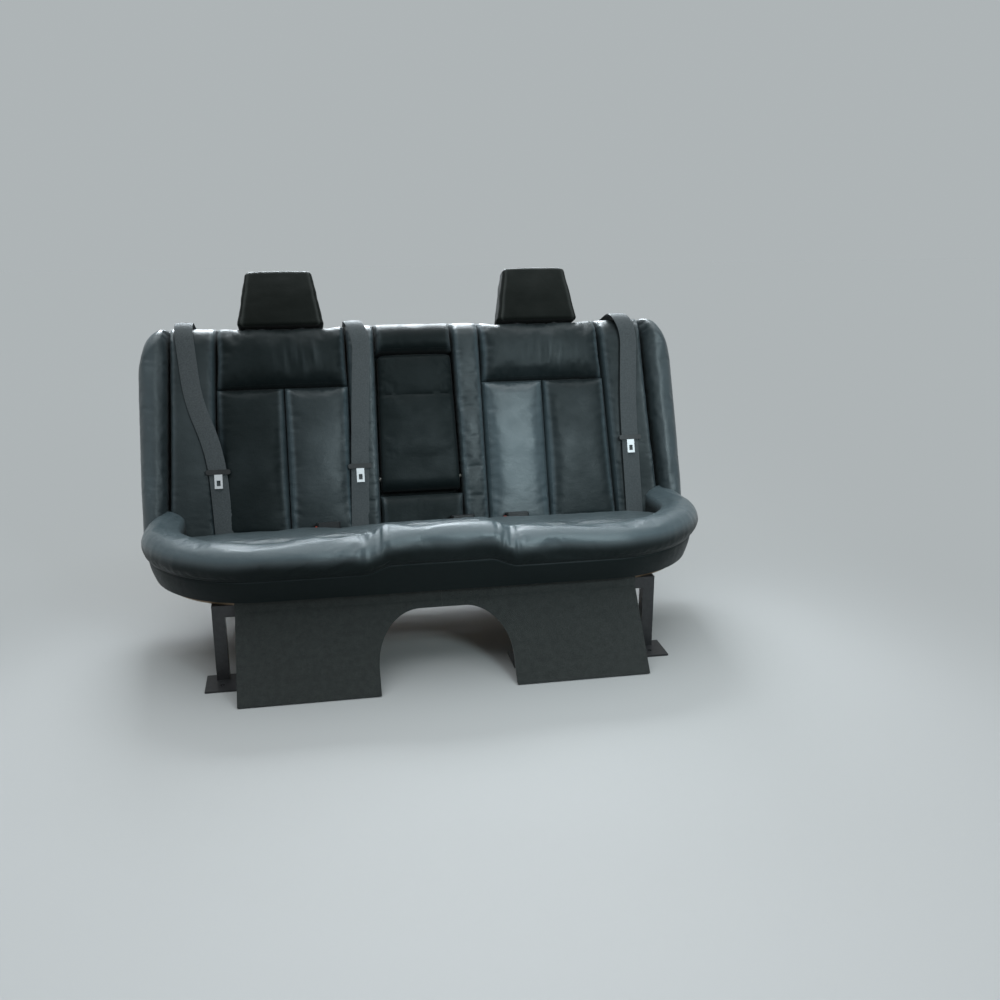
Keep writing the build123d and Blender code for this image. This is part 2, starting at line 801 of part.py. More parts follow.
def hump_section(y, rise):
    """Cross section of the hump at y, its top a given rise above the sloped seat."""
    base = bight_height + (bight_y - y) * seat_angle
    with BuildLine() as outline:
        Polyline(
            (-hump_foot / 2, base - 2 * hump_rise),
            (-hump_foot / 2, base + rise - hump_rise),
            (-hump_top / 2, base + rise),
            (hump_top / 2, base + rise),
            (hump_foot / 2, base + rise - hump_rise),
            (hump_foot / 2, base - 2 * hump_rise),
            close=True,
        )
    make_face(outline.edges())


with BuildPart() as cushion:
    with BuildSketch(Plane.XY.offset(deck_top)):
        horseshoe(fascia_lean)
    with BuildSketch(Plane.XY.offset(roll_height)):
        horseshoe(fascia_inset)
    loft(ruled=True)
    with BuildSketch(Plane.XY.offset(roll_height)):
        horseshoe(roll_radius)
    extrude(amount=2 * roll_radius)
    split(bisect_by=seat, keep=Keep.BOTTOM)
    with BuildSketch(Plane.XZ.offset(-roll_front)):
        hump_section(roll_front, hump_rise)
    with BuildSketch(Plane.XZ.offset(hump_stop - bight_y)):
        hump_section(bight_y - hump_stop, -seam_gap)
    loft(ruled=True)
    with BuildLine(Plane.XY.offset(roll_height)) as roll_path:
        Polyline(*roll_left, *[(-x, y, rise) for x, y, rise in reversed(roll_left)])
    with BuildSketch(Plane.XZ.offset(-bight_y - tube)):
        with Locations((-roll_half, roll_height)):
            Circle(roll_radius)
    sweep(path=roll_path.wires()[0], transition=Transition.RIGHT)
    split(bisect_by=back.offset(cushion_clearance), keep=Keep.TOP)
    for side, hand in hands:
        with BuildSketch(ridge_plane(side)):
            bolster_section(side, cushion_clearance)
        extrude(amount=notch_height, both=True, mode=Mode.SUBTRACT)
        for s in (-back_thickness, notch_height):
            near = side * edge_at(section_edge, s)
            far = side * edge_at(wing_edge, s)
            with BuildSketch(level(s)):
                with BuildLine():
                    Polyline(
                        (near, back_thickness),
                        (near, -cushion_clearance),
                        (far, -wing_rise - cushion_clearance),
                        (far, back_thickness),
                        close=True,
                    )
                make_face()
        loft(ruled=True, mode=Mode.SUBTRACT)
    for name, side, edge, span, shares, end, shoulder, foot, drop in belts:
        x = route_at(route_points(side, edge, span, shares, end), 0)
        with BuildSketch(back):
            with Locations((x, 0)):
                Rectangle(webbing_width + 2 * notch_clearance, 2 * notch_height)
        extrude(amount=foot + notch_clearance, mode=Mode.SUBTRACT)
    with BuildSketch(back):
        with Locations(*[(x, 0) for x in strap_places]):
            Rectangle(strap_notch, 2 * notch_height)
    extrude(amount=strap_thickness + notch_clearance, mode=Mode.SUBTRACT)
cushion.part.label = "cushion"
export_step(cushion.part, "parts/cushion.step")

# Buckles, each with a mouth for the blade and its button at the left end
buckle_middle = -buckle_from_bight - buckle_width / 2
buckle_ends = [(x - buckle_length / 2, buckle_middle) for x in buckle_places]
with BuildPart() as buckle_housings:
    with BuildSketch(seat.offset(seam_gap)):
        with Locations(*[(x, buckle_middle) for x in buckle_places]):
            Rectangle(buckle_length, buckle_width)
        chamfer(vertices(), buckle_corner)
    extrude(amount=buckle_height)
    with BuildSketch(seat.offset(seam_gap + mouth_level)):
        with Locations(*buckle_ends):
            Rectangle(blade_length, blade_width + 2 * mouth_side)
    extrude(amount=blade_thickness + pocket_gap, mode=Mode.SUBTRACT)
    with BuildSketch(seat.offset(seam_gap + button_inset)):
        with Locations(*buckle_ends):
            Rectangle(button_length, buckle_width - 2 * button_inset)
    extrude(amount=button_height, mode=Mode.SUBTRACT)
buckle_housings.part.label = "buckle_housings"
export_step(buckle_housings.part, "parts/buckle_housings.step")

with BuildPart() as buckle_buttons:
    with BuildSketch(seat.offset(seam_gap + button_inset)):
        with Locations(*buckle_ends):
            Rectangle(button_length, buckle_width - 2 * (button_inset + button_gap))
    extrude(amount=button_height - button_gap)
buckle_buttons.part.label = "buckle_buttons"
export_step(buckle_buttons.part, "parts/buckle_buttons.step")

with BuildPart() as buckle_straps:
    with BuildSketch(seat.offset(pocket_gap)):
        with Locations(*[(x, 0) for x in strap_places]):
            Rectangle(strap_reach, buckle_from_bight + buckle_width, align=(Align.CENTER, Align.MAX))
    extrude(amount=strap_thickness)
    with BuildSketch(back.offset(pocket_gap)):
        with Locations(*[(x, 0) for x in strap_places]):
            Rectangle(strap_width, notch_height, align=(Align.CENTER, Align.MAX))
    extrude(amount=strap_thickness)
    split(bisect_by=back.offset(pocket_gap), keep=Keep.TOP)
    split(bisect_by=Plane.XY.offset(deck_top), keep=Keep.TOP)
buckle_straps.part.label = "buckle_straps"
export_step(buckle_straps.part, "parts/buckle_straps.step")
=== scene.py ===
"""Looks of a three-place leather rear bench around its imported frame.

Lengths are in metres in the row frame: X to the right seen from the front, -Y to the front, Z up.
Soft pieces are laid out on the leaning face of the back: x across, s up the face from the line
where back and cushion meet, and z out of the face towards the front.
"""

import json
import logging
import math
import sys
from collections.abc import Callable
from dataclasses import dataclass, field
from enum import Enum

import bmesh
import bpy
import numpy as np
from mathutils import Matrix, Vector

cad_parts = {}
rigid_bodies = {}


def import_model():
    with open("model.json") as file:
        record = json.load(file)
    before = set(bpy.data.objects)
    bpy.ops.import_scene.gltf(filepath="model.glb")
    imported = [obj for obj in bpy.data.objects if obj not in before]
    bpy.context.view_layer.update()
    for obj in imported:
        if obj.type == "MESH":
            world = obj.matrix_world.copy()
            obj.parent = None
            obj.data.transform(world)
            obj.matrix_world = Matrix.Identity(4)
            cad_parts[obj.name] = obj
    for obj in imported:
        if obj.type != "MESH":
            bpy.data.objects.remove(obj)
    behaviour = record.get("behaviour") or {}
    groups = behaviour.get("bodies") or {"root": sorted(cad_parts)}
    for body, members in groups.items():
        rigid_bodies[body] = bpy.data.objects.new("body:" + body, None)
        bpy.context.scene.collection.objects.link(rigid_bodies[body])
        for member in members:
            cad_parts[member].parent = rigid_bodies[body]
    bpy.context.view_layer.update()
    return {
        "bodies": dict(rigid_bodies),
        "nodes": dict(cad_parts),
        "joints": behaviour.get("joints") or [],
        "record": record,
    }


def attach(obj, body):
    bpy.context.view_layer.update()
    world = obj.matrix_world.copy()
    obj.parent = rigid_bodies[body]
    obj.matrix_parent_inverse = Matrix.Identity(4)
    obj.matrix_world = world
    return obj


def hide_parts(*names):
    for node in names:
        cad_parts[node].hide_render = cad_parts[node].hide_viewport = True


Array = np.ndarray
Object = bpy.types.Object
Socket = bpy.types.NodeSocket
Input = float | tuple | Socket
log = logging.getLogger("bench")

RECLINE = math.radians(20)
SIN, COS = math.sin(RECLINE), math.cos(RECLINE)
FACE = np.array(Vector((0.0, -COS, SIN)))
BIGHT_Y = 0.108171
BIGHT_Z = 0.265
BACK_HEIGHT = 0.563
BACK_DEPTH = 0.105
BACK_TUCK = 0.020
PLACE_MIDDLE = 0.3625
SEAT_SLOPE = 0.2434
TOP_ROUND = 0.060
TOP_FALL = 0.070


class Side(Enum):
    """Which hand of the bench a piece is on, as the sign of its x."""

    LEFT = -1
    RIGHT = 1

    @property
    def word(self) -> str:
        """Hand in small letters, as the node names have it."""
        return self.name.lower()

    def pick(self, left: float, right: float) -> float:
        """The number that holds for this hand."""
        return left if self is Side.LEFT else right


class Grain(Enum):
    """How coarse the grain of a hide is, in pebbles to a metre."""

    FINE = 900.0
    MATT = 620.0


# Geometry on the leaning back


def to_world(x: Array, s: Array, z: Array) -> Array:
    """Turns places on the leaning face into the row frame.

    Formula: y moves back with s by the sine of the recline and forward with z by its cosine; the
    height rises with s by the cosine and with z by the sine.

    Args:
        x: Across the bench.
        s: Up the leaning face from the bight line.
        z: Out of the face, towards the front.

    Returns:
        Points in the row frame, with a last axis of three.
    """
    x, s, z = np.broadcast_arrays(x, s, z)
    return np.stack([x, BIGHT_Y + s * SIN - z * COS, BIGHT_Z + s * COS + z * SIN], axis=-1)


@dataclass(frozen=True)
class Edge:
    """A leaning line on the back, as distances from the centre line at its top and foot."""

    top: float
    foot: float

    def at(self, s: Array) -> Array:
        """Distance of the line from the centre line at s, on a straight run from foot to top."""
        return self.foot + (self.top - self.foot) * np.asarray(s) / BACK_HEIGHT

    def mirrored(self) -> "Edge":
        """Same line on the other side of the centre line."""
        return Edge(-self.top, -self.foot)


CENTER_EDGE = Edge(0.187, 0.187)
PLACE_EDGE = Edge(PLACE_MIDDLE, PLACE_MIDDLE)
SECTION_EDGE = Edge(0.538, 0.556)
WING_EDGE = Edge(0.660, 0.683)
OUTER_EDGE = Edge(0.732, 0.740)


def smooth(t: Array) -> Array:
    """Rise from 0 to 1 without corners: three t squared less two t cubed, t held in 0 to 1."""
    t = np.clip(t, 0.0, 1.0)
    return t * t * (3.0 - 2.0 * t)


def round_over(distance: Array, radius: float) -> Array:
    """Height share of a quarter-round edge.

    Formula: the root of one less the square of how much of the radius is left to the edge.

    Args:
        distance: Distance inside the edge.
        radius: Radius of the round.

    Returns:
        0 at the edge and 1 from one radius inside it.
    """
    left = 1.0 - np.clip(distance / radius, 0.0, 1.0)
    return np.sqrt(np.clip(1.0 - left * left, 0.0, 1.0))


def bump(t: Array, middle: float, width: float) -> Array:
    """Bell curve: e to the minus square of the distance from the middle over the width."""
    return np.exp(-(((t - middle) / width) ** 2))


def edge_spaced(count: int, share: float) -> Array:
    """Parameters from 0 to 1 that crowd towards both ends.

    Formula: an even step blended with half a cosine wave, by the given share.

    Args:
        count: Number of steps.
        share: 0 for even steps, 1 for cosine steps.

    Returns:
        count + 1 values.
    """
    t = np.linspace(0.0, 1.0, count + 1)
    return t * (1.0 - share) + share * 0.5 * (1.0 - np.cos(np.pi * t))


def ripple_noise(x: Array, y: Array, scale: float, seed: int) -> Array:
    """Soft uneven field between about -1 and 1.

    Formula: the mean of eight plane waves, each in its own seeded direction, length and phase.

    Args:
        x: First coordinate.
        y: Second coordinate.
        scale: Typical length of one wave.
        seed: Seed of the draw.

    Returns:
        The field's values.
    """
    rng = np.random.default_rng(seed)
    shape = (8,) + (1,) * np.ndim(x)
    angle = rng.uniform(0, np.pi, 8).reshape(shape)
    length = (scale * rng.uniform(0.6, 1.7, 8)).reshape(shape)
    phase = rng.uniform(0, 2 * np.pi, 8).reshape(shape)
    along = x * np.cos(angle) + y * np.sin(angle)
    return np.sin(2 * np.pi * along / length + phase).mean(axis=0) * 1.8


# Meshes


def new_object(name: str, verts: Array, faces: list, smooth_shade: bool = True) -> Object:
    """Puts points and faces into a mesh object at the origin.

    Args:
        name: Name of the piece.
        verts: Points in the row frame, one row each.
        faces: Faces as lists of point numbers.
        smooth_shade: Whether faces are shaded smooth.

    Returns:
        The linked object.
    """
    mesh = bpy.data.meshes.new(name)
    mesh.from_pydata(verts.reshape(-1, 3).tolist(), [], faces)
    mesh.validate()
    mesh.polygons.foreach_set("use_smooth", np.full(len(mesh.polygons), smooth_shade))
    mesh.update()
    obj = bpy.data.objects.new(name, mesh)
    bpy.context.scene.collection.objects.link(obj)
    return obj


def grid_faces(rows: int, columns: int, wrap: bool = False) -> list:
    """Quads of a grid of points that are numbered row by row.

    Args:
        rows: Number of rows of points.
        columns: Number of points in a row.
        wrap: Whether the last column joins the first.

    Returns:
        Four point numbers for each quad.
    """
    r = np.arange(rows - 1)[:, None]
    c = np.arange(columns if wrap else columns - 1)[None, :]
    n = (c + 1) % columns
    quads = [r * columns + c, r * columns + n, (r + 1) * columns + n, (r + 1) * columns + c]
    return np.stack(quads, axis=-1).reshape(-1, 4).tolist()


def outward(obj: Object) -> None:
    """Turns a closed mesh's faces outwards, once its doubles are merged.

    Args:
        obj: The piece.
    """
    bm = bmesh.new()
    bm.from_mesh(obj.data)
    bmesh.ops.remove_doubles(bm, verts=bm.verts, dist=1e-6)
    bmesh.ops.recalc_face_normals(bm, faces=bm.faces)
    bm.to_mesh(obj.data)
    bm.free()
    obj.data.update()


def add_uv(obj: Object, uv: Array) -> None:
    """Gives each corner the flat place of its point.

    Args:
        obj: The piece.
        uv: Place of each point in metres along the surface.
    """
    layer = obj.data.uv_layers.new(name="surface")
    corner = np.empty(len(obj.data.loops), np.int32)
    obj.data.loops.foreach_get("vertex_index", corner)
    layer.data.foreach_set("uv", uv.reshape(-1, 2)[corner].astype(np.float32).ravel())


def add_value(obj: Object, name: str, values: Array) -> None:
    """Stores one number for each point, which a material reads by name."""
    layer = obj.data.attributes.new(name, "FLOAT", "POINT")
    layer.data.foreach_set("value", np.asarray(values, np.float32).ravel())


def hold(obj: Object, points: Array) -> None:
    """Marks the points that stay in place while a cover settles."""
    obj.vertex_groups.new(name="hold").add(points.tolist(), 1.0, "REPLACE")


def closed_shell(name: str, front: Array, below: Callable[[Array], Array], values: dict) -> Object:
    """Closes a front surface with straight sides and one face behind.

    Formula: the border of the front is repeated behind it and joined to it.

    Args:
        name: Name of the piece.
        front: Points as (row, column, coordinate), in the row frame.
        below: Function that gives the repeated border from the border's points.
        values: Numbers at each front point for the material, by name.

    Returns:
        The object, its border and rear held.
    """
    rows, columns = front.shape[:2]
    index = np.arange(rows * columns).reshape(rows, columns)
    rim = np.concatenate([index[0, :-1], index[:-1, -1], index[-1, :0:-1], index[:0:-1, 0]])
    rear = rows * columns + np.arange(len(rim))
    sides = np.stack([np.roll(rim, -1), rim, rear, np.roll(rear, -1)], axis=-1)
    points = front.reshape(-1, 3)
    faces = grid_faces(rows, columns) + sides.tolist() + [rear.tolist()]
    obj = new_object(name, np.concatenate([points, below(points[rim])]), faces)
    for key, grid in values.items():
        add_value(obj, key, np.concatenate([grid.ravel(), np.zeros(len(rim))]))
    hold(obj, np.concatenate([rim, rear]))
    outward(obj)
    return obj


def closed_pad(name: str, x: Array, s: Array, z: Array, behind: float, values: dict) -> Object:
    """Closes a pad's front back to one depth behind the leaning face.

    Args:
        name: Name of the piece.
        x: Across the bench, one row of points for each step up the pad.
        s: Up the face, in the same grid.
        z: Out of the face, in the same grid.
        behind: Depth of the rear behind the face.
        values: Numbers at each front point for the material, by name.

    Returns:
        The pad.
    """

    def below(rim: Array) -> Array:
        """Moves border points along the face's direction to the rear."""
        return rim - np.outer((rim - np.array([0.0, BIGHT_Y, BIGHT_Z])) @ FACE + behind, FACE)

    return closed_shell(name, to_world(x, s, z), below, values)


def swept(name: str, rings: Array, wear: Array | None = None, held: Array | None = None) -> Object:
    """Skins closed rings of points, and closes the first and last with one face each.

    Args:
        name: Name of the piece.
        rings: Points as (ring, place in the ring, coordinate), in the row frame.
        wear: Share of wear and painted light at each point, if it has any.
        held: Whether each point stays in place when the cover settles.

    Returns:
        The object, its map running round the ring and along the rings in metres.
    """
    count, around = rings.shape[:2]
    ends = [list(range(around)), [(count - 1) * around + k for k in range(around)]]
    obj = new_object(name, rings, grid_faces(count, around, wrap=True) + ends)
    step = np.linalg.norm(np.diff(rings, axis=0), axis=2).mean(axis=1)
    along = np.concatenate([[0.0], np.cumsum(step)])
    girth = np.linalg.norm(rings - np.roll(rings, 1, axis=1), axis=2).mean(axis=0)
    round_it = np.cumsum(girth) - girth[0]
    add_uv(obj, np.stack(np.broadcast_arrays(round_it[None, :], along[:, None]), axis=-1))
    if wear is not None:
        add_value(obj, "wear", np.broadcast_to(wear, rings.shape[:2]))
    if held is not None:
        hold(obj, np.flatnonzero(np.broadcast_to(held, rings.shape[:2])))
    outward(obj)
    return obj


# Finishes


class Shader:
    """Nodes of one material, built from its surface backwards."""

    def __init__(self, name: str, color: tuple, roughness: float, metallic: float = 0.0) -> None:
        """Starts a material.

        Args:
            name: Name of the finish.
            color: Plain colour, which a pattern may replace.
            roughness: Plain roughness.
            metallic: 1 for bare metal.
        """
        self.material = bpy.data.materials.new(f"{name}_look")
        self.material.use_nodes = True
        self.tree = self.material.node_tree
        self.surface = self.tree.nodes["Principled BSDF"]
        self.set("Base Color", (*color, 1.0))
        self.set("Roughness", roughness)
        self.set("Metallic", metallic)
        self.place = self.add("ShaderNodeTexCoord")

    def put(self, socket: Socket, value: Input) -> None:
        """Sets a socket to a value, or links another socket to it.

        Args:
            socket: The socket.
            value: Its value, or the socket that feeds it.
        """
        if isinstance(value, Socket):
            self.tree.links.new(value, socket)
        else:
            socket.default_value = value

    def set(self, name: str, value: Input) -> None:
        """Sets or links one of the surface's own sockets."""
        self.put(self.surface.inputs[name], value)

    def add(self, kind: str, **sockets: Input) -> bpy.types.Node:
        """Adds a node and sets or links its sockets.

        Args:
            kind: Blender's name of the node.
            **sockets: Values or other sockets by name, with underscores for spaces.

        Returns:
            The node.
        """
        node = self.tree.nodes.new(kind)
        for key, value in sockets.items():
            self.put(node.inputs[key.replace("_", " ")], value)
        return node

    def step(self, operation: str, *values: Input) -> Socket:
        """Does one step of arithmetic.

        Args:
            operation: Blender's name of the step.
            *values: What it works on.

        Returns:
            The result.
        """
        node = self.tree.nodes.new("ShaderNodeMath")
        node.operation = operation
        for socket, value in zip(node.inputs, values):
            self.put(socket, value)
        return node.outputs[0]

    def noise(self, scale: float, detail: float = 3.0, stretch: tuple = (1, 1, 1)) -> Socket:
        """Soft noise on the piece's own coordinates.

        Args:
            scale: Waves in a metre.
            detail: Number of finer layers.
            stretch: How much closer the waves are along each axis.

        Returns:
            The noise's value.
        """
        where = self.add("ShaderNodeMapping", Vector=self.place.outputs["Object"], Scale=stretch)
        node = self.add("ShaderNodeTexNoise", Vector=where.outputs[0], Scale=scale, Detail=detail)
        return node.outputs["Fac"]

    def cells(self, scale: float) -> Socket:
        """Distance to the middle of small cells, as the pebbles of a hide have it."""
        node = self.add("ShaderNodeTexVoronoi", Vector=self.place.outputs["Object"], Scale=scale)
        return node.outputs["Distance"]

    def value(self, name: str) -> Socket:
        """Number stored at the piece's points.

        Args:
            name: Name it is stored under.

        Returns:
            The number, 0 where the piece has none.
        """
        node = self.add("ShaderNodeAttribute")
        node.attribute_name = name
        return node.outputs["Fac"]

    def span(self, value: Socket, low: float, high: float, to: tuple) -> Socket:
        """Maps a value from one span to another and holds it there.

        Args:
            value: The value.
            low: Start of its span.
            high: End of its span.
            to: Start and end of the new span.

        Returns:
            The mapped value.
        """
        node = self.add("ShaderNodeMapRange", Value=value)
        for k, number in enumerate((low, high, *to), start=1):
            node.inputs[k].default_value = number
        return node.outputs[0]

    def mixed(self, share: Socket, first: tuple, second: tuple) -> Socket:
        """Mixes two colours.

        Args:
            share: Share of the second.
            first: First colour.
            second: Second colour.

        Returns:
            The mix.
        """
        node = self.tree.nodes.new("ShaderNodeMix")
        node.data_type = "RGBA"
        self.put(node.inputs["Factor"], share)
        for name, color in (("A", first), ("B", second)):
            socket = [i for i in node.inputs if i.name == name and i.type == "RGBA"][0]
            self.put(socket, (*color, 1.0))
        return [o for o in node.outputs if o.type == "RGBA"][0]

    def raised(self, height: Socket, distance: float, strength: float, **under: Socket) -> Socket:
        """Relief of a height.

        Args:
            height: The height, 0 to 1.
            distance: Depth of the relief in metres.
            strength: Share of the relief that shows.
            **under: Normal of the relief that this one lies on, if there is one.

        Returns:
            The normal that carries both.
        """
        node = self.add("ShaderNodeBump", Height=height, Distance=distance, Strength=strength, **under)
        return node.outputs[0]

    def dress(self, obj: Object) -> None:
        """Gives a piece this material alone."""
        obj.data.materials.clear()
        obj.data.materials.append(self.material)


@dataclass(frozen=True)
class Leather:
    """Hide over foam: pebble grain, fine creases, and a paler, shinier tone for wear and painted
    highlight.
    """

    name: str = "leather"
    color: tuple = (0.0070, 0.0115, 0.0118)
    # Worn colour: a pale teal that stands for worn hide and also paints the sheen of reflected light.
    worn: tuple = (0.072, 0.101, 0.114)
    roughness: float = 0.34
    dulling: float = 0.12
    grain: Grain = Grain.FINE
    relief: float = 0.00028
    shine: float = 0.72
    unworn_shine: float = 0.15
    blotches: float = 0.35
    contrast: float = 1.8
    stitch_inset: float = 0.0062
    stitch_length: float = 0.0052

    def build(self) -> Shader:
        """Makes the material.

        Formula: the tone is the stored value of wear and painted light plus blotches, raised to a power;
        it leads from the plain to the worn colour, which also paints a teal sheen of reflected light,
        and to a smoother and shinier surface.

        Returns:
            Its shader.
        """
        s = Shader(self.name, self.color, self.roughness)
        # The stored value is wear mixed with painted light: lighter tops, edges and creases, darker
        # shaded fascia.
        rubbed_and_lit = s.step("MULTIPLY_ADD", s.noise(9.0, 4.0), self.blotches, s.value("wear"))
        tone = s.step("POWER", s.span(rubbed_and_lit, 0.12, 1.15, (0.0, 1.0)), self.contrast)
        s.set("Base Color", s.mixed(tone, self.color, self.worn))
        gloss = s.span(tone, 0.0, 0.5, (self.roughness + self.dulling, self.roughness))
        uneven = s.span(s.noise(26.0, 5.0), 0.3, 0.7, (-0.06, 0.08))
        s.set("Roughness", s.step("ADD", gloss, uneven))
        shine = s.span(tone, 0.0, 0.5, (self.unworn_shine * self.shine, self.shine))
        s.set("Specular IOR Level", shine)
        s.set("Sheen Weight", 0.06)
        creases = s.raised(s.noise(55.0, 6.0, (1.0, 1.0, 1.6)), 0.0022, 0.35)
        pebbles = s.raised(s.cells(self.grain.value), self.relief, 0.75, Normal=creases)
        s.set("Normal", s.raised(self.stitches(s), 0.0007, 0.9, Normal=pebbles))
        return s

    def stitches(self, s: Shader) -> Socket:
        """Top stitching beside the seams.

        Formula: full height where the distance to the seam is close to the stitch line, times a
        wave along the seam that is cut to its upper part; where a piece has no such values, none.

        Args:
            s: The shader.

        Returns:
            Height, 0 to 1.
        """
        away = s.step("ABSOLUTE", s.step("SUBTRACT", s.value("edge"), self.stitch_inset))
        wave = s.step("SINE", s.step("MULTIPLY", s.value("run"), 2 * math.pi / self.stitch_length))
        line = s.span(away, 0.0004, 0.0009, (1.0, 0.0))
        return s.step("MULTIPLY", line, s.span(wave, -0.6, -0.1, (0.0, 1.0)))


@dataclass(frozen=True)
class Webbing:
    """Woven polyester band with lengthwise ribs and a diagonal weave."""

    name: str = "webbing"
    color: tuple = (0.060, 0.068, 0.072)
    pale: tuple = (0.108, 0.120, 0.125)
    rib: float = 0.0030
    weave: float = 0.0011

    def build(self) -> Shader:
        """Makes the material.

        Returns:
            Its shader.
        """
        s = Shader(self.name, self.color, 0.72)
        bands = []
        for kind, period in (("X", self.rib), ("DIAGONAL", self.weave)):
            scale = 2 * math.pi / (20 * period)
            wave = s.add("ShaderNodeTexWave", Vector=s.place.outputs["UV"], Scale=scale)
            wave.bands_direction = kind
            bands.append(wave.outputs["Fac"])
        fibres = s.span(s.noise(300.0), 0.35, 0.7, (0.0, 0.7))
        s.set("Base Color", s.mixed(fibres, self.color, self.pale))
        s.set("Sheen Weight", 0.25)
        ribs = s.raised(bands[0], 0.0004, 0.6)
        s.set("Normal", s.raised(bands[1], 0.0002, 0.6, Normal=ribs))
        return s


@dataclass(frozen=True)
class Grained:
    """Plain finish with one pattern: powder coat, plastic, plated steel, plywood or carpet."""

    name: str
    color: tuple
    other: tuple
    roughness: float
    scale: float
    metallic: float = 0.0
    stretch: tuple = (1.0, 1.0, 1.0)
    relief: float = 0.0001
    strength: float = 0.4
    uneven: float = 0.08
    sheen: float = 0.0

    def build(self) -> Shader:
        """Makes the material.

        Returns:
            Its shader.
        """
        s = Shader(self.name, self.color, self.roughness, self.metallic)
        grain = s.noise(self.scale, 5.0, self.stretch)
        broad = s.span(s.noise(self.scale / 12.0, 3.0, self.stretch), 0.35, 0.68, (0.0, 1.0))
        s.set("Base Color", s.mixed(broad, self.color, self.other))
        smoothest = max(0.03, self.roughness - self.uneven)
        s.set("Roughness", s.span(grain, 0.3, 0.7, (smoothest, self.roughness + self.uneven)))
        s.set("Sheen Weight", self.sheen)
        s.set("Normal", s.raised(grain, self.relief, self.strength))
        return s


def make_finishes() -> dict:
    """Builds every finish of the bench.

    Returns:
        Shaders by the record's slot names.
    """
    kinds = [
        Leather(),
        Leather(
            "headrest_leather", (0.0065, 0.0082, 0.0067), (0.024, 0.028, 0.024), 0.56,
            grain=Grain.MATT, relief=0.0005, shine=0.30,
        ),
        Webbing(),
        Grained(
            "carpet", (0.016, 0.020, 0.018), (0.026, 0.031, 0.028), 0.95, 900.0,
            relief=0.003, strength=1.0, uneven=0.03, sheen=0.3,
        ),
        Grained("frame_paint", (0.026, 0.026, 0.028), (0.036, 0.036, 0.038), 0.42, 1400.0),
        Grained(
            "plywood", (0.24, 0.16, 0.095), (0.32, 0.22, 0.135), 0.6, 60.0,
            stretch=(0.6, 9.0, 9.0), relief=0.0003, strength=0.5,
        ),
        Grained("dark_plastic", (0.017, 0.017, 0.018), (0.024, 0.024, 0.026), 0.45, 1800.0),
        Grained("red_plastic", (0.50, 0.045, 0.02), (0.58, 0.06, 0.03), 0.4, 1500.0),
        Grained(
            "bright_steel", (0.70, 0.70, 0.71), (0.62, 0.62, 0.64), 0.52, 500.0, 1.0,
            stretch=(1, 1, 12), relief=0.00003, strength=0.3, uneven=0.06,
        ),
        Grained(
            "zinc_steel", (0.32, 0.32, 0.31), (0.38, 0.37, 0.33), 0.48, 260.0, 1.0,
            relief=0.00006, uneven=0.10,
        ),
    ]
    return {kind.name: kind.build() for kind in kinds}


# Sub-assemblies


@dataclass
class CoverSim:
    """Lets sewn covers settle over their foam, all of them in one run of the cloth solver."""

    frames: int = 16
    mass: float = 0.25
    stretch: float = 12.0
    shear: float = 6.0
    bending: float = 0.35
    waiting: list = field(default_factory=list)

    def add(self, obj: Object, pressure: float, slack: float, limit: float) -> None:
        """Prepares one cover; its seams and its rear stay where they are.

        Args:
            obj: The cover, with the point group "hold".
            pressure: Push of the foam.
            slack: Share by which the hide is cut larger than its foam.
            limit: Farthest that a point may move.
        """
        rest = np.empty(len(obj.data.vertices) * 3, np.float32)
        obj.data.vertices.foreach_get("co", rest)
        cloth = obj.modifiers.new("settle", "CLOTH")
        settings = cloth.settings
        settings.quality, settings.mass = 5, self.mass
        settings.tension_stiffness = settings.compression_stiffness = self.stretch
        settings.shear_stiffness, settings.bending_stiffness = self.shear, self.bending
        settings.use_pressure, settings.uniform_pressure_force = True, pressure
        settings.vertex_group_mass, settings.pin_stiffness = "hold", 1.0
        settings.shrink_min = -slack
        settings.effector_weights.gravity = 0.0
        cloth.collision_settings.use_collision = False
        cloth.point_cache.frame_start, cloth.point_cache.frame_end = 1, self.frames
        self.waiting.append((obj, rest.reshape(-1, 3), limit))

    def run(self) -> None:
        """Plays the frames, keeps the settled points and takes the solver off again.

        Formula: a point's move is shortened along a hyperbolic tangent that levels off at its limit.
        """
        scene = bpy.context.scene
        for frame in range(1, self.frames + 1):
            scene.frame_set(frame)
        depsgraph = bpy.context.evaluated_depsgraph_get()
        for obj, rest, limit in self.waiting:
            settled = np.empty(rest.size, np.float32)
            obj.evaluated_get(depsgraph).data.vertices.foreach_get("co", settled)
            move = settled.reshape(-1, 3) - rest
            far = np.linalg.norm(move, axis=1, keepdims=True)
            move *= np.tanh(far / limit) * limit / np.maximum(far, 1e-9)
            obj.modifiers.clear()
            obj.data.vertices.foreach_set("co", (rest + move).ravel())
            obj.data.update()
            most = 1000 * float(np.linalg.norm(move, axis=1).max())
            log.info("%s settled by up to %.1f mm", obj.name, most)
        scene.frame_set(1)
        self.waiting.clear()


@dataclass
class Workshop:
    """What all sub-assemblies share: the finishes by slot name and the solver of the covers."""

    finishes: dict
    covers: CoverSim

    def hang(self, obj: Object, slot: str, body: str, nodes: tuple, fill: float | None = None) -> None:
        """Dresses a piece, hangs it on its body, hides the solids that it replaces and logs its faces.

        Args:
            obj: The piece.
            slot: The record's slot, which names its finish.
            body: Body it rides on.
            nodes: Solids that it replaces.
            fill: How full it is, 0 to 1, if it is stuffed.
        """
        self.finishes[slot].dress(obj)
        obj.data.set_sharp_from_angle(angle=math.radians(40 if fill is None else 55))
        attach(obj, body)
        if nodes:
            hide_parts(*nodes)
        log.info("%s: %d faces", obj.name, len(obj.data.polygons))


@dataclass(frozen=True)
class Folds:
    """How a hide gathers at its seams, creases between them and lies unevenly on its foam."""

    length: float = 0.016
    reach: float = 0.022
    clear: float = 0.006
    crease_length: float = 0.021
    crease_width: float = 0.20
    crease_middle: float = 0.42
    crease_height: float = 0.26
    uneven_length: float = 0.11


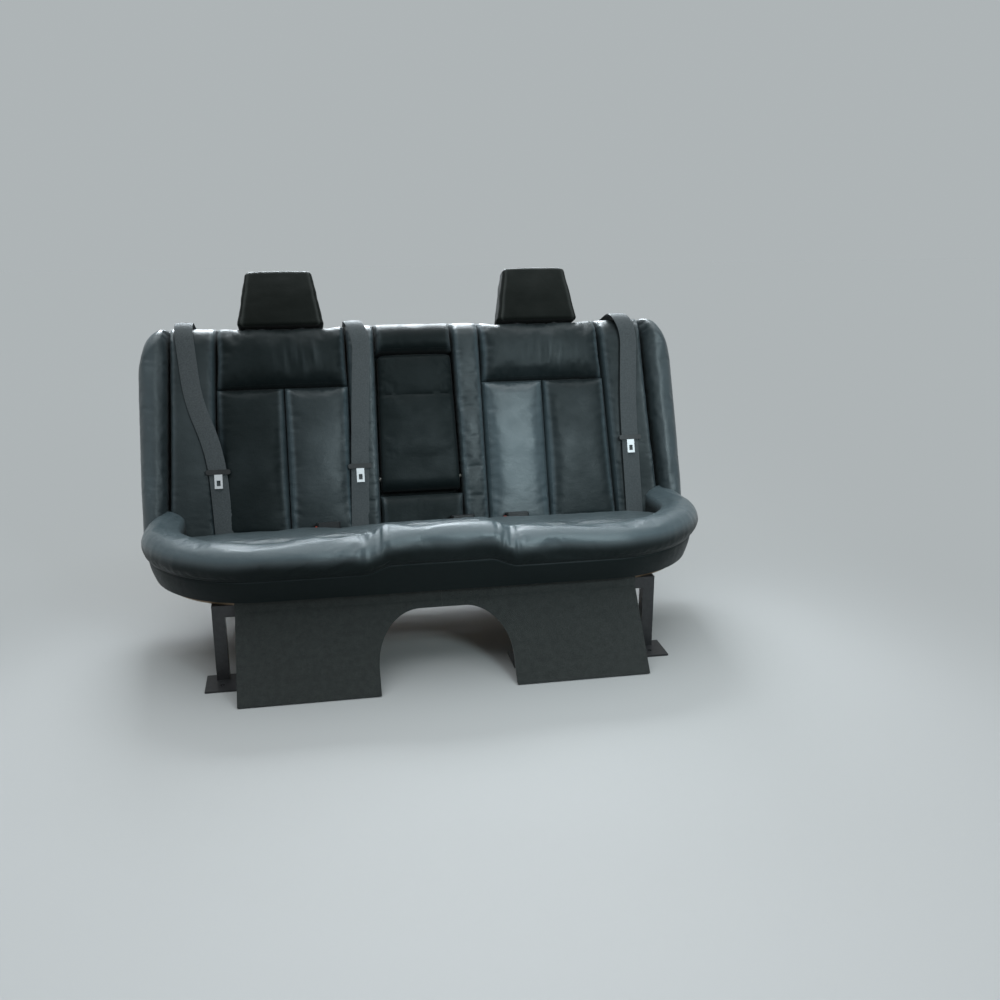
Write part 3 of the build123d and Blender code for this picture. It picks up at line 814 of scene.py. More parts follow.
@dataclass
class Pad:
    """A sewn pad on the leaning back, with rounded edges, a crown and gathers at its seams."""

    name: str
    side: Side
    near: Edge
    far: Edge
    low: float
    high: float
    nodes: tuple = ()
    proud: float = 0.0
    rise: float = 0.0
    round_near: float = 0.014
    round_far: float = 0.014
    round_low: float = 0.014
    round_high: float = 0.014
    over_top: float = 0.0
    root: float = 0.016
    crown: float = 0.005
    pull: float = 0.0025
    gap: float = 0.0012
    gathers: float = 0.0011
    waves: float = 0.0012
    # Tone of the pad, its seam edges and its crease crests: wear mixed with painted highlight.
    worn: float = 0.25
    edge_worn: float = 0.5
    crease_worn: float = 80.0
    step: float = 0.0052
    seed: int = 1
    behind: float = BACK_DEPTH
    fill: float = 0.5
    pressure: float = 1.5
    slack: float = 0.012
    limit: float = 0.008
    dip: float = 0.0
    dip_reach: float = 0.165
    dip_edge: float = 0.05
    dip_below: float = 0.08
    creased: float = 0.0
    crease_at: float = 0.6
    folds: Folds = Folds()

    def surface(self) -> tuple:
        """Lays out the front.

        Formula: each point stands out by a quarter-round from the nearest side and end, plus a crown
        that fades to the seams, less the part of a quarter-round that takes the top over backwards,
        plus gathers that run square to each seam and die away within 40 mm, plus upright creases
        about one place, plus a broad unevenness of the foam. The top dips under the headrest.

        Returns:
            Grids of x, s and z, and by name those of wear with painted highlight, of the distance to the
            nearest seam and of the place along it.
        """
        width = float(self.far.at(self.low) - self.near.at(self.low))
        columns = max(10, round(width / self.step))
        rows = max(10, round((self.high - self.low) / self.step))
        u, v = np.meshgrid(edge_spaced(columns, 0.45), edge_spaced(rows, 0.3))
        s = self.low + self.gap + (self.high - self.low - 2 * self.gap) * v
        near, far = self.near.at(s) + self.gap, self.far.at(s) - self.gap
        off_place = np.abs(near + (far - near) * u - PLACE_MIDDLE)
        under_headrest = smooth((self.dip_reach - off_place) / self.dip_edge)
        s = s - self.dip * under_headrest * smooth((s - self.high + self.dip_below) / self.dip_below)
        bow = self.pull * 4 * v * (1 - v)
        near, far = near + bow, far - bow
        across = near + (far - near) * u
        from_near, from_far = across - near, far - across
        from_low, from_high = s - s.min(), s[-1] - s
        head = round_over(from_high, self.round_high * (1 - 0.45 * under_headrest * bool(self.dip)))
        shape = round_over(from_near, self.round_near) * round_over(from_far, self.round_far)
        shape = shape * round_over(from_low, self.round_low)
        shape = shape * (smooth(from_high / 0.012) if self.over_top else head)
        dome = self.crown * (1 - (2 * u - 1) ** 2) ** 0.7 * (1 - (2 * v - 1) ** 2) ** 0.6
        f = self.folds
        gather = np.zeros_like(s)
        for distance, along in ((from_near, s), (from_far, s), (from_low, across), (from_high, across)):
            ripple = ripple_noise(along, distance * 0.25, f.length, self.seed + 7)
            gather += self.gathers * ripple * np.exp(-distance / f.reach) * smooth(distance / f.clear)
        broad = self.waves * ripple_noise(across, s, f.uneven_length, self.seed)
        crease = ripple_noise(across, s * 0.12, f.crease_length, self.seed + 3)
        crease *= bump(u, self.crease_at, f.crease_width)
        crease *= bump(v, f.crease_middle, f.crease_height)
        height = self.proud + self.rise * u + self.root
        z = -self.root + shape * (height + dome + broad + self.creased * crease) + gather * shape
        z = z - self.over_top * (1 - head)
        beside, beyond = np.minimum(from_near, from_far), np.minimum(from_low, from_high)
        # Painted highlight with wear: lighter towards the pad's middle, 6 mm inside the side seams, and
        # on crease crests.
        rubbed_and_lit = self.worn * (0.6 + 0.4 * bump(v, 0.5, 0.5))
        rubbed_and_lit = rubbed_and_lit + self.edge_worn * bump(beside, 0.006, 0.008)
        rubbed_and_lit = rubbed_and_lit + self.crease_worn * self.creased * np.clip(crease, 0, None)
        along = np.where(beside < beyond, s, across)
        seams = {"wear": rubbed_and_lit, "edge": np.minimum(beside, beyond), "run": along}
        return self.side.value * across, s, z, seams

    def build(self, shop: Workshop) -> None:
        """Makes and dresses the pad.

        Args:
            shop: The shared finishes and solver.
        """
        x, s, z, seams = self.surface()
        obj = closed_pad(self.name, x, s, z, self.behind, seams)
        shop.hang(obj, "leather", "bench", self.nodes, self.fill)
        if self.limit:
            shop.covers.add(obj, self.pressure, self.slack, self.limit)


@dataclass
class OuterPlace:
    """One outer place of the back: an overhanging shoulder pad above two upright channels."""

    side: Side
    seam: float = 0.395
    top: float = BACK_HEIGHT + 0.013
    seed: int = 11

    def build(self, shop: Workshop) -> None:
        """Makes the three pads.

        Args:
            shop: The shared finishes and solver.
        """
        pick, hand = self.side.pick, self.side.word
        Pad(
            f"shoulder_pad_{hand}", self.side, CENTER_EDGE, SECTION_EDGE, self.seam, self.top,
            (f"back_{hand}",), proud=0.008, round_low=0.040, round_high=TOP_ROUND, over_top=TOP_FALL,
            round_near=0.026, round_far=0.026, root=0.024, crown=0.006, pull=0.003, gathers=0.0026,
            # Right-hand pads get a higher tone than left ones: wear mixed with painted highlight from
            # light on the right.
            waves=0.0022, worn=pick(0.10, 0.30), edge_worn=0.8, seed=self.seed, limit=0.010,
            dip=0.008, creased=pick(0.0032, 0.0020), crease_at=pick(0.36, 0.58),
        ).build(shop)
        channels = (
            # Channel tones, wear with painted highlight: right-hand ones lighter, the right inner most,
            # their seam edges lighter still.
            ("inner", CENTER_EDGE, PLACE_EDGE, pick(0.46, 1.0), 0.9),
            ("outer", PLACE_EDGE, SECTION_EDGE, pick(0.12, 0.34), 0.7),
        )
        for k, (name, near, far, worn, edge_worn) in enumerate(channels, start=1):
            Pad(
                f"channel_{name}_{hand}", self.side, near, far, -BACK_TUCK, self.seam,
                crown=0.006, pull=0.0, worn=worn, edge_worn=edge_worn, seed=self.seed + k,
            ).build(shop)


@dataclass
class Wing:
    """Tapered pad between an outer place and the bolster, rising outwards."""

    side: Side
    rise: float = 0.025
    top: float = BACK_HEIGHT + 0.013

    def build(self, shop: Workshop) -> None:
        """Makes the wing.

        Args:
            shop: The shared finishes and solver.
        """
        hand = self.side.word
        Pad(
            f"wing_pad_{hand}", self.side, SECTION_EDGE, WING_EDGE, -BACK_TUCK, self.top,
            (f"wing_{hand}",), rise=self.rise, round_far=0.010, round_high=TOP_ROUND, over_top=TOP_FALL,
            crown=0.0, waves=0.0008, worn=0.36, seed=self.side.pick(31, 37), limit=0.0022,
        ).build(shop)


@dataclass
class Bolster:
    """Outer ridge of the back, turned round a large corner at its top."""

    side: Side
    rise: float = 0.050
    inner: float = 0.025
    outer: float = 0.008
    corner: float = 0.090
    lifted: float = 0.012
    proud: float = 0.007
    root: float = 0.014
    gap: float = 0.0010
    round_near: float = 0.010
    round_far: float = 0.008
    round_low: float = 0.01
    waves: float = 0.0012
    gathers: float = 0.0008
    rows: int = 96
    columns: int = 26

    def build(self, shop: Workshop) -> None:
        """Makes the bolster.

        Formula: across, the ridge is an arc through the wing's height, the ridge and the outer edge;
        up, each line of the grid ends on a quarter circle about the corner's centre, and the height
        falls to the seam round that circle by a quarter-round.

        Args:
            shop: The shared finishes and solver.
        """
        u, v = np.meshgrid(edge_spaced(self.columns, 0.5), edge_spaced(self.rows, 0.35))
        at_top = WING_EDGE.top + (OUTER_EDGE.top - WING_EDGE.top) * u
        from_center = at_top - (OUTER_EDGE.top - self.corner)
        fall = np.sqrt(np.clip(self.corner**2 - np.clip(from_center, 0, None) ** 2, 0, None))
        s_top = np.where(from_center > 0, BACK_HEIGHT - self.corner + fall, BACK_HEIGHT) + self.lifted
        s = -BACK_TUCK + (s_top + BACK_TUCK - self.gap) * v
        from_top = s_top - s
        near, far = WING_EDGE.at(s) + self.gap, OUTER_EDGE.at(s) + self.proud * smooth(from_top / 0.08)
        width = far - near
        across = near + width * u
        arc = 1 - np.abs(2 * u - 1) ** 2.6
        lift = self.inner * (1 - u) + self.outer * u + (self.rise - self.inner / 2) * arc
        seed = self.side.pick(41, 47)
        uneven = self.waves * ripple_noise(across, s, 0.09, seed)
        folds = self.gathers * ripple_noise(s, across * 0.2, 0.015, seed + 1) * bump(u, 0.0, 0.35)
        side = round_over(width * u, self.round_near) * round_over(width * (1 - u), self.round_far)
        foot = round_over(s - s.min(), self.round_low)
        z = (self.root + lift + uneven + folds) * smooth(from_top / 0.012) * foot * side
        z = z - self.root - TOP_FALL * (1 - round_over(from_top, TOP_ROUND))
        # Wear with painted highlight: the ridge, a little outside its middle, is lighter where light
        # catches it.
        wear = {"wear": 0.45 + 0.35 * bump(u, 0.6, 0.35)}
        hand = self.side.word
        obj = closed_pad(f"bolster_pad_{hand}", self.side.value * across, s, z, BACK_DEPTH, wear)
        shop.hang(obj, "leather", "bench", (f"bolster_{hand}",), 0.7)
        shop.covers.add(obj, 1.5, 0.010, 0.005)


@dataclass
class CenterPlace:
    """Narrow middle place: head, stiles and foot round the armrest's opening, and its back."""

    opening_top: float = 0.486
    opening_foot: float = 0.083
    half_top: float = 0.109
    half_foot: float = 0.117
    half_niche: float = 0.119
    turned: float = 0.056

    def build(self, shop: Workshop) -> None:
        """Makes the five pads.

        Args:
            shop: The shared finishes and solver.
        """
        head = Edge(self.half_top, self.half_top)
        foot = Edge(self.half_foot, self.half_foot)
        niche = Edge(self.half_niche, self.half_niche)
        pads = [
            Pad(
                "head_pad", Side.RIGHT, head.mirrored(), head, self.opening_top, BACK_HEIGHT + 0.015,
                ("center_head",), proud=0.008, round_low=0.022, round_high=self.turned,
                over_top=TOP_FALL, crown=0.0015, root=0.022, gathers=0.0014, worn=0.0,
                seed=51, limit=0.002,
            )
        ]
        for side in Side:
            pads.append(
                Pad(
                    f"stile_pad_{side.word}", side, Edge(self.half_top, self.half_foot), CENTER_EDGE,
                    -BACK_TUCK, BACK_HEIGHT + 0.014, (f"center_stile_{side.word}", "center_head"),
                    proud=0.002, round_near=0.012, round_far=0.02, round_high=self.turned,
                    over_top=TOP_FALL, crown=side.pick(0.002, 0.004), pull=0.0,
                    # Right stile a little lighter than the left: wear mixed with painted highlight.
                    worn=side.pick(0.38, 0.48), seed=53 + side.value, step=0.004,
                    limit=side.pick(0.0025, 0.0045),
                )
            )
        pads.append(
            Pad(
                "foot_pad", Side.RIGHT, foot.mirrored(), foot, -BACK_TUCK, self.opening_foot,
                ("center_foot",), round_high=0.026, crown=0.0, worn=0.1, seed=57, limit=0.0025,
            )
        )
        pads.append(
            Pad(
                "niche_cover", Side.RIGHT, niche.mirrored(), niche, 0.076, 0.492, ("niche_pad",),
                proud=-0.085, root=0.095, crown=0.002, worn=0.1, seed=67, behind=0.1028, limit=0.0,
            )
        )
        for pad in pads:
            pad.build(shop)


def end_levels(low: float, high: float, foot: float, head: float, steps: int) -> Array:
    """Levels of a stuffed block with rounded ends.

    Formula: between the ends each ring keeps its size but is drawn in near an end by a quarter-round;
    beyond the last full ring, smaller and smaller rings close the end along a shallow dome.

    Args:
        low: Lowest level.
        high: Highest level.
        foot: Radius of the round at the low end.
        head: Radius of the round at the high end.
        steps: Number of levels between the ends.

    Returns:
        Levels, insets and scales.
    """
    level = low + (high - low) * edge_spaced(steps, 0.85)
    inset = foot * (1 - round_over(level - low, foot)) + head * (1 - round_over(high - level, head))
    rows = np.stack([level, inset, np.ones_like(level)], axis=-1)
    scale = np.array([0.93, 0.8, 0.6, 0.35, 0.08])
    dome = 0.35 * (1 - scale**2)
    top = np.stack([high + head * dome, np.full(5, head), scale], axis=-1)
    foot_rows = np.stack([low - foot * dome * 0.3, np.full(5, foot), scale], axis=-1)[::-1]
    return np.concatenate([foot_rows, rows, top]).T


def rounded_ring(half_width: Array, half_depth: Array, count: int, power: float = 7.0) -> tuple:
    """Points of a rounded rectangle for each level.

    Formula: a superellipse, cosine and sine each raised to two over its power with their signs kept.

    Args:
        half_width: Half width at each level.
        half_depth: Half depth at each level.
        count: Points round the ring.
        power: Higher is squarer.

    Returns:
        Offsets across and outwards, and the angle round the ring.
    """
    angle = np.linspace(0, 2 * np.pi, count, endpoint=False)
    angle = angle - 0.06 * np.sin(4 * angle)
    waves = np.cos(angle), np.sin(angle)
    across, out = (np.sign(wave) * np.abs(wave) ** (2 / power) for wave in waves)
    return half_width[:, None] * across, half_depth[:, None] * out, angle[None, :]


@dataclass
class Armrest:
    """Folding armrest, stowed in the middle of the back, with a level seam and gathers above it."""

    pivot: float = 0.132
    thickness: float = 0.072
    recess: float = 0.004
    top: float = 0.478
    foot: float = 0.083
    half_top: float = 0.103
    half_foot: float = 0.111
    seam: float = 0.365
    crown: float = 0.005
    seam_depth: float = 0.0038
    gathers: float = 0.0022
    slack: float = 0.0036
    waves: float = 0.001
    around: int = 104
    levels: int = 78

    def build(self, shop: Workshop) -> None:
        """Makes the armrest's cover.

        Formula: rounded rectangles up the pad, their depth following a half circle about the pin at
        the lower end; the front is crowned, and dips in a narrow bell at the seam.

        Args:
            shop: The shared finishes and solver.
        """
        half = self.thickness / 2
        level, inset, scale = end_levels(self.pivot - half, self.top, 0.003, 0.014, self.levels)
        taper = np.clip((level - self.foot) / (self.top - self.foot), 0, 1)
        width = (self.half_foot + (self.half_top - self.half_foot) * taper - inset) * scale
        below = np.clip(self.pivot - level, 0, half)
        depth = (np.sqrt(half**2 - below**2 * 0.97) - inset * (level > self.pivot)) * scale
        x, z, _ = rounded_ring(width, depth, self.around)
        s = np.broadcast_to(level[:, None], x.shape)
        share = x / self.half_foot
        front = smooth(z / 0.02) * np.minimum(1, scale)[:, None]
        arch = front * self.crown * (1 - share**2)
        z = z + arch * (1 - (2 * taper[:, None] - 1) ** 4) * smooth((s - 0.16) / 0.06)
        above = np.clip(s - self.seam, 0, None)
        folds = ripple_noise(x, above * 0.3, 0.018, 61) * np.exp(-above / 0.02) * (s > self.seam)
        folds = folds * bump(np.abs(share), 0.8, 0.5)
        slack = ripple_noise(s, x * 0.35, 0.02, 62) * bump(np.abs(share), 0.95, 0.25)
        slack = slack * bump(s, 0.40, 0.035)
        seam = self.seam_depth * bump(s, self.seam, 0.0035)
        z = z + front * (self.gathers * folds + self.slack * slack - seam)
        z = z + front * self.waves * ripple_noise(x, s, 0.09, 63)
        held = (front < 0.9) | (np.abs(share) > 0.86) | (np.abs(s - self.seam) < 0.005)
        held = held | (s > self.top - 0.01) | (s < 0.195)
        wear = 0.12 * front * bump(s, 0.2, 0.2)
        obj = swept("armrest_cover", to_world(x, s, z - self.recess - half), wear, held)
        shop.hang(obj, "leather", "armrest", ("armrest_pad",), 0.7)
        shop.covers.add(obj, 1.5, 0.010, 0.005)


@dataclass
class Headrest:
    """Box-shaped headrest with side gussets, tapering upwards, on two posts."""

    side: Side
    foot: float = 0.5685
    height: float = 0.1585
    width: tuple = (0.174, 0.232)
    depth: tuple = (0.060, 0.090)
    piping: float = 0.0026
    crown: float = 0.0025
    waves: float = 0.0012
    around: int = 152
    levels: int = 60

    def build(self, shop: Workshop) -> None:
        """Makes the pad.

        Formula: rounded rectangles that shrink on a straight line from foot to top; a raised seam
        runs up each of the four corners, and each panel between them is crowned.

        Args:
            shop: The shared finishes and solver.
        """
        high = self.foot + self.height
        level, inset, scale = end_levels(self.foot, high - 0.003, 0.009, 0.011, self.levels)
        t = np.clip((level - self.foot) / self.height, 0, 1)
        width = ((self.width[1] + (self.width[0] - self.width[1]) * t) / 2 - inset) * scale
        depth = ((self.depth[1] + (self.depth[0] - self.depth[1]) * t) / 2 - inset) * scale
        x, z, angle = rounded_ring(width, depth, self.around)
        s = np.broadcast_to(level[:, None], x.shape)
        full = (scale == 1)[:, None] * 1.0
        corner = np.abs(np.sin(2 * angle)) ** 40 * full
        crown = (1 - np.abs(np.sin(2 * angle)) ** 2) * full * self.crown
        uneven = self.waves * ripple_noise(x + z, s, 0.05, self.side.pick(71, 73)) * full
        out = 1 + (corner * self.piping + crown + uneven) / np.hypot(x, z).clip(0.02)
        x, z = x * out, z * out
        rings = to_world(self.side.value * PLACE_MIDDLE + x, s, z - self.depth[1] / 2)
        hand = self.side.word
        # Painted highlight over an even wear: lighter towards the top and along the four corner seams.
        obj = swept(f"headrest_{hand}_cover", rings, 0.2 + 0.25 * t[:, None] + 0.6 * corner)
        shop.hang(obj, "headrest_leather", f"headrest_{hand}", (f"headrest_pad_{hand}",), 0.8)


@dataclass
class Cushion:
    """Seat cushion: a roll round its front and sides that climbs over the tunnel, and the seat."""

    half: float = 0.735
    front: float = -0.289
    corner: float = 0.300
    roll: float = 0.052
    roll_level: float = 0.303
    seam_level: float = 0.2685
    seam_out: float = 0.0365
    fascia_foot: float = 0.025
    fascia_lean: float = 0.0135
    fascia_height: float = 0.0555
    deck: float = 0.210
    above_deck: float = 0.0006
    hump_rise: float = 0.021
    hump_top: float = 0.118
    hump_foot: float = 0.190
    rear_sink: float = 0.016
    climb_puckers: float = 0.0040
    bend_puckers: float = 0.0020
    roll_waves: float = 0.0022
    roll_creases: float = 0.0018
    border: float = 0.083
    seat_crown: float = 0.004
    seat_waves: tuple = (0.0035, 0.0012)
    seat_creases: float = 0.0030
    seam_depth: float = 0.014
    step: float = 0.005

    @property
    def foot(self) -> float:
        """Level of the covers' lower edges, just above the deck."""
        return self.deck + self.above_deck

    def hump(self, x: Array) -> Array:
        """Rise of the roll over the tunnel: a smooth step on each side of the middle."""
        return self.hump_rise * smooth((self.hump_foot - np.abs(x)) / (self.hump_foot - self.hump_top))

    def path(self) -> tuple:
        """Middle line of the roll, from left rear round the front to right rear.

        Formula: a straight leg, a quarter circle, the front, a quarter circle and a straight leg, at
        even steps of arc length.

        Returns:
            Points of the plan and the outward directions there.
        """
        half, radius = self.half - self.roll, self.corner - self.roll
        rear, bend = BIGHT_Y + 0.006, self.front + self.corner
        leg, arc, across = rear - bend, radius * math.pi / 2, 2 * (half - radius)
        total = 2 * leg + 2 * arc + across
        length = np.linspace(0, total / 2, round(total / 2 / self.step) + 1)
        angle = np.clip((length - leg) / radius, 0, math.pi / 2)
        out = np.stack([-np.cos(angle), -np.sin(angle)], axis=-1)
        x = -half + radius + radius * out[:, 0] + np.clip(length - leg - arc, 0, None)
        y = bend + radius * out[:, 1] + np.clip(leg - length, 0, None)
        left = np.stack([x, y], axis=-1)
        mirror = np.array([-1.0, 1.0])
        return tuple(np.concatenate([rows, (rows * mirror)[-2::-1]]) for rows in (left, out))

    def creases(self, x: Array, y: Array) -> Array:
        """Folds that fan out from the feet of the hump.

        Formula: about each foot, the fold's height is a narrow ridge of the angle round the foot,
        strongest 70 mm away and fading over 100 mm.

        Args:
            x: Across.
            y: Fore and aft.

        Returns:
            Height of the folds.
        """
        height = np.zeros(np.broadcast(x, y).shape)
        for sign, seed in ((-1, 83), (1, 89)):
            dx, dy = (x - sign * 0.165) * sign, y - (self.front + 0.06)
            radius, angle = np.hypot(dx, dy) + 1e-6, np.arctan2(dy, dx)
            rng = np.random.default_rng(seed)
            for middle in rng.uniform(-0.25, 1.2, 6):
                width = 0.0060 / (radius + 0.03)
                fade = np.exp(-(((radius - 0.07) / 0.10) ** 2)) * rng.uniform(0.5, 1.0)
                valley = 0.5 * bump(angle, middle + 2 * width, width)
                height += fade * (bump(angle, middle, width) - valley)
        return height

    def build_roll(self, shop: Workshop) -> None:
        """Makes the roll and the fascia below it.

        Formula: the section is a leaning line up the fascia, a seam, the upper part of a circle and a
        line down to the deck; it is carried square to the path, and above the seam it lifts with the
        hump. Puckers run round the roll where it starts and stops to climb, and in its corners.

        Args:
            shop: The shared finishes and solver.
        """
        plan, out = self.path()
        x_path, y_path = plan[:, 0][:, None], plan[:, 1][:, None]
        fascia = np.linspace(0, 1, 12)
        arc = np.radians(np.linspace(-40, 148, 56))
        offset = np.concatenate([
            self.fascia_foot + self.fascia_lean * fascia + 0.002 * np.sin(np.pi * fascia),
            [self.seam_out], self.roll * np.cos(arc), [-0.047, -0.047],
        ])
        level = np.concatenate([
            self.foot + self.fascia_height * fascia, [self.seam_level],
            self.roll_level + self.roll * np.sin(arc), [0.30, self.foot],
        ])
        share = np.concatenate([fascia, np.ones(57), [0.5, 0.0]])
        over_arc = smooth(np.sin((arc + 0.7) / 3.3 * np.pi) * 2)
        soft = np.concatenate([np.full(12, 0.25), [0.0], over_arc, [0.0, 0.0]])
        normal = np.concatenate([np.zeros(13), arc, [math.pi, math.pi]])
        along = np.arange(len(plan))[:, None] * self.step
        steps = np.hypot(np.diff(offset, prepend=offset[0]), np.diff(level, prepend=level[0]))
        round_it = np.cumsum(steps)[None, :]
        climb = bump(np.abs(x_path), 0.160, 0.030)
        bend = bump(np.abs(np.abs(x_path) - 0.60), 0.0, 0.07) * 0.35
        puckers = ripple_noise(along, round_it * 0.25, 0.020, 91)
        puckers = puckers * (climb * self.climb_puckers + bend * self.bend_puckers)
        push = soft * (puckers + self.roll_waves * ripple_noise(along, round_it, 0.16, 92))
        high = np.clip((level - self.deck) / 0.1, 0, 1)
        sink = self.rear_sink * smooth((y_path + 0.16) / 0.24) * high
        o = offset + push * np.cos(normal)
        z = level + self.hump(x_path) * share + push * np.sin(normal) - sink
        x, y = x_path + out[:, 0][:, None] * o, y_path + out[:, 1][:, None] * o
        z = z + soft * self.roll_creases * self.creases(x, y) * (np.sin(normal) > 0.2)
        # Wear with painted light and shade: lighter facing up, darker facing forward and down; fascia
        # and hidden rear darkest as painted shade.
        wear = np.where(share >= 1, 1.1 * smooth(0.25 + 1.1 * np.sin(normal)), -0.2)
        ends = (along < 0.01) | (along > along.max() - 0.01)
        obj = swept("front_roll", np.stack([x, y, z], axis=-1), wear, (soft < 0.35) | ends)
        shop.hang(obj, "leather", "bench", ("cushion",), 0.8)
        shop.covers.add(obj, 1.4, 0.014, 0.006)

    def build_seat(self, shop: Workshop) -> None:
        """Makes the seat inside the roll.

        Formula: columns run from the roll's inner line back to the bight or to the wing in front of
        it; the height follows the seat's slope, the hump fading out towards the bight, a crown, and a
        quarter-round down to the seam on each side.

        Args:
            shop: The shared finishes and solver.
        """
        half, radius = self.half - self.border, self.corner - self.border
        columns = round(2 * half / (1.35 * self.step))
        u, v = np.meshgrid(2 * edge_spaced(columns, 0.25) - 1, edge_spaced(56, 0.3))
        x = half * u
        beyond = np.clip(np.abs(x) - (half - radius), 0, radius)
        y_front = self.front + self.border + radius - np.sqrt(np.clip(radius**2 - beyond**2, 0, None))
        wing = np.clip((np.abs(x) - SECTION_EDGE.foot) / (WING_EDGE.foot - SECTION_EDGE.foot), 0, 1)
        y_rear = BIGHT_Y - 0.001 - 0.025 * wing / COS
        y = y_front + (y_rear - y_front) * v
        to_rear = y_rear - y
        inside = np.minimum(y - y_front, half - np.abs(x))
        fade = smooth((BIGHT_Y - 0.06 - y) / 0.24)
        shape = round_over(inside, 0.020) * round_over(to_rear, 0.018)
        crown = self.seat_crown * smooth(inside / 0.12) * smooth(to_rear / 0.10)
        wide, fine = self.seat_waves
        broad = wide * ripple_noise(x, y, 0.15, 95) + fine * ripple_noise(x, y * 2.2, 0.05, 96)
        body = crown + broad * smooth(inside / 0.03) + self.seat_creases * self.creases(x, y)
        plane = BIGHT_Z + (BIGHT_Y - y) * SEAT_SLOPE
        z = plane + self.hump(x) * fade - self.seam_depth * (1 - shape) + body * shape - 0.002

        def on_deck(rim: Array) -> Array:
            """Drops border points straight down to the deck."""
            return np.column_stack([rim[:, :2], np.full(len(rim), self.foot)])

        wear = 0.55 + 0.25 * smooth(to_rear / 0.12)
        obj = closed_shell("seat_cover", np.stack([x, y, z], axis=-1), on_deck, {"wear": wear})
        shop.hang(obj, "leather", "bench", ("cushion",), 0.7)
        shop.covers.add(obj, 1.0, 0.006, 0.010)

    def build(self, shop: Workshop) -> None:
        """Makes the roll and the seat."""
        self.build_roll(shop)
        self.build_seat(shop)


def ribbon(name: str, line: Array, normal: Array, width: float, thickness: float, curl: Array) -> Object:
    """Band of woven webbing along a line.

    Formula: at each point the band lies square to the line and to its normal; its cross section is a
    thin closed strip whose middle stands out by the curl.

    Args:
        name: Name of the piece.
        line: Points of the band's middle.
        normal: Outward direction of the band at each point.
        width: Width of the band.
        thickness: Thickness of the band.
        curl: How far its middle stands out from its edges at each point.

    Returns:
        The band, mapped in metres across and along.
    """
    tangent = np.gradient(line, axis=0)
    tangent /= np.linalg.norm(tangent, axis=1, keepdims=True)
    across = np.cross(tangent, normal)
    across /= np.linalg.norm(across, axis=1, keepdims=True)
    out = np.cross(across, tangent)
    share = np.linspace(-1, 1, 11)
    height = curl[:, None] * (1 - share**2)
    edge = thickness / 2 * np.clip((1 - np.abs(share)) / 0.06, 0.25, 1)
    spread = across[:, None] * (share * width / 2)[:, None]
    top = spread + out[:, None] * (height + edge)[..., None]
    low = spread + out[:, None] * (height - edge)[..., None]
    return swept(name, line[:, None] + np.concatenate([top, low[:, ::-1]], axis=1))


def rounded_route(points: list | Array, radius: float | tuple, step: float) -> Array:
    """Rounds the corners of a line of straight runs.

    Formula: each corner is replaced by a quadratic curve that starts and ends one radius from it,
    held to half of the shorter run, and the whole is resampled at even steps.

    Args:
        points: Corners of the line.
        radius: Distance from each corner at which its curve starts, one for all or one for each.
        step: Step of the result.

    Returns:
        Points along the rounded line.
    """
    points = np.asarray(points, float)
    out = [points[0]]
    share = np.linspace(0, 1, 9)[:, None]
    radii = np.broadcast_to(radius, len(points) - 2)
    for before, corner, after, reach in zip(points, points[1:], points[2:], radii):
        back, on = np.linalg.norm(corner - before), np.linalg.norm(after - corner)
        cut = min(reach, back / 2.01, on / 2.01)
        start = corner + (before - corner) / back * cut
        end = corner + (after - corner) / on * cut
        out.extend((1 - share) ** 2 * start + 2 * share * (1 - share) * corner + share**2 * end)
    out = np.array(out + [points[-1]])
    length = np.concatenate([[0.0], np.cumsum(np.linalg.norm(np.diff(out, axis=0), axis=1))])
    even = np.linspace(0, length[-1], max(8, round(length[-1] / step)))
    return np.stack([np.interp(even, length, out[:, k]) for k in range(out.shape[1])], axis=-1)


@dataclass
class Belt:
    """One belt, from its reel behind the back over the top and down to its floor-side anchor."""

    name: str
    side: Side
    edge: float
    span: float
    route: tuple
    end: float
    shoulder: float
    foot: float
    width: float = 0.048
    thickness: float = 0.0014
    over_top: float = 0.020
    bends: tuple = (0.062, 0.028)
    spool_depth: float = 0.168
    reel_top: float = 0.530
    anchor: float = -0.050
    step: float = 0.004

    def build(self, shop: Workshop) -> None:
        """Makes the webbing.

        Formula: the route on the face gives x for each s; the height profile gives z and s along the
        belt, with rounded bends over the top; x follows s all along it.

        Args:
            shop: The shared finishes and solver.
        """
        sign = self.side.value
        out, down = np.array(self.route).T
        corners = np.column_stack([sign * (self.edge + self.span * out), BACK_HEIGHT * (1 - down)])
        end = sign * (self.edge + self.span * self.end), self.anchor
        flat = rounded_route(np.vstack([corners, end]), 0.09, self.step)[::-1]
        high = BACK_HEIGHT + self.over_top
        lies = Edge(self.shoulder, self.foot)
        corners = [
            (lies.at(self.anchor), self.anchor), (lies.at(high), high),
            (-self.spool_depth, high), (-self.spool_depth, self.reel_top),
        ]
        profile = rounded_route(corners, self.bends, self.step)
        z, s = profile.T
        x = np.interp(s, flat[:, 1], flat[:, 0])
        slope = np.gradient(profile, axis=0)
        slope /= np.linalg.norm(slope, axis=1, keepdims=True)
        normal = to_world(0 * x, -slope[:, 0], slope[:, 1]) - to_world(0 * x, 0 * x, 0 * x)
        along = np.arange(len(x)) * self.step
        curl = 0.0008 + 0.0008 * ripple_noise(along, 0 * along, 0.12, 101)
        obj = ribbon(f"webbing_{self.name}", to_world(x, s, z), normal, self.width, self.thickness, curl)
        shop.hang(obj, "webbing", "bench", (f"belt_{self.name}",))


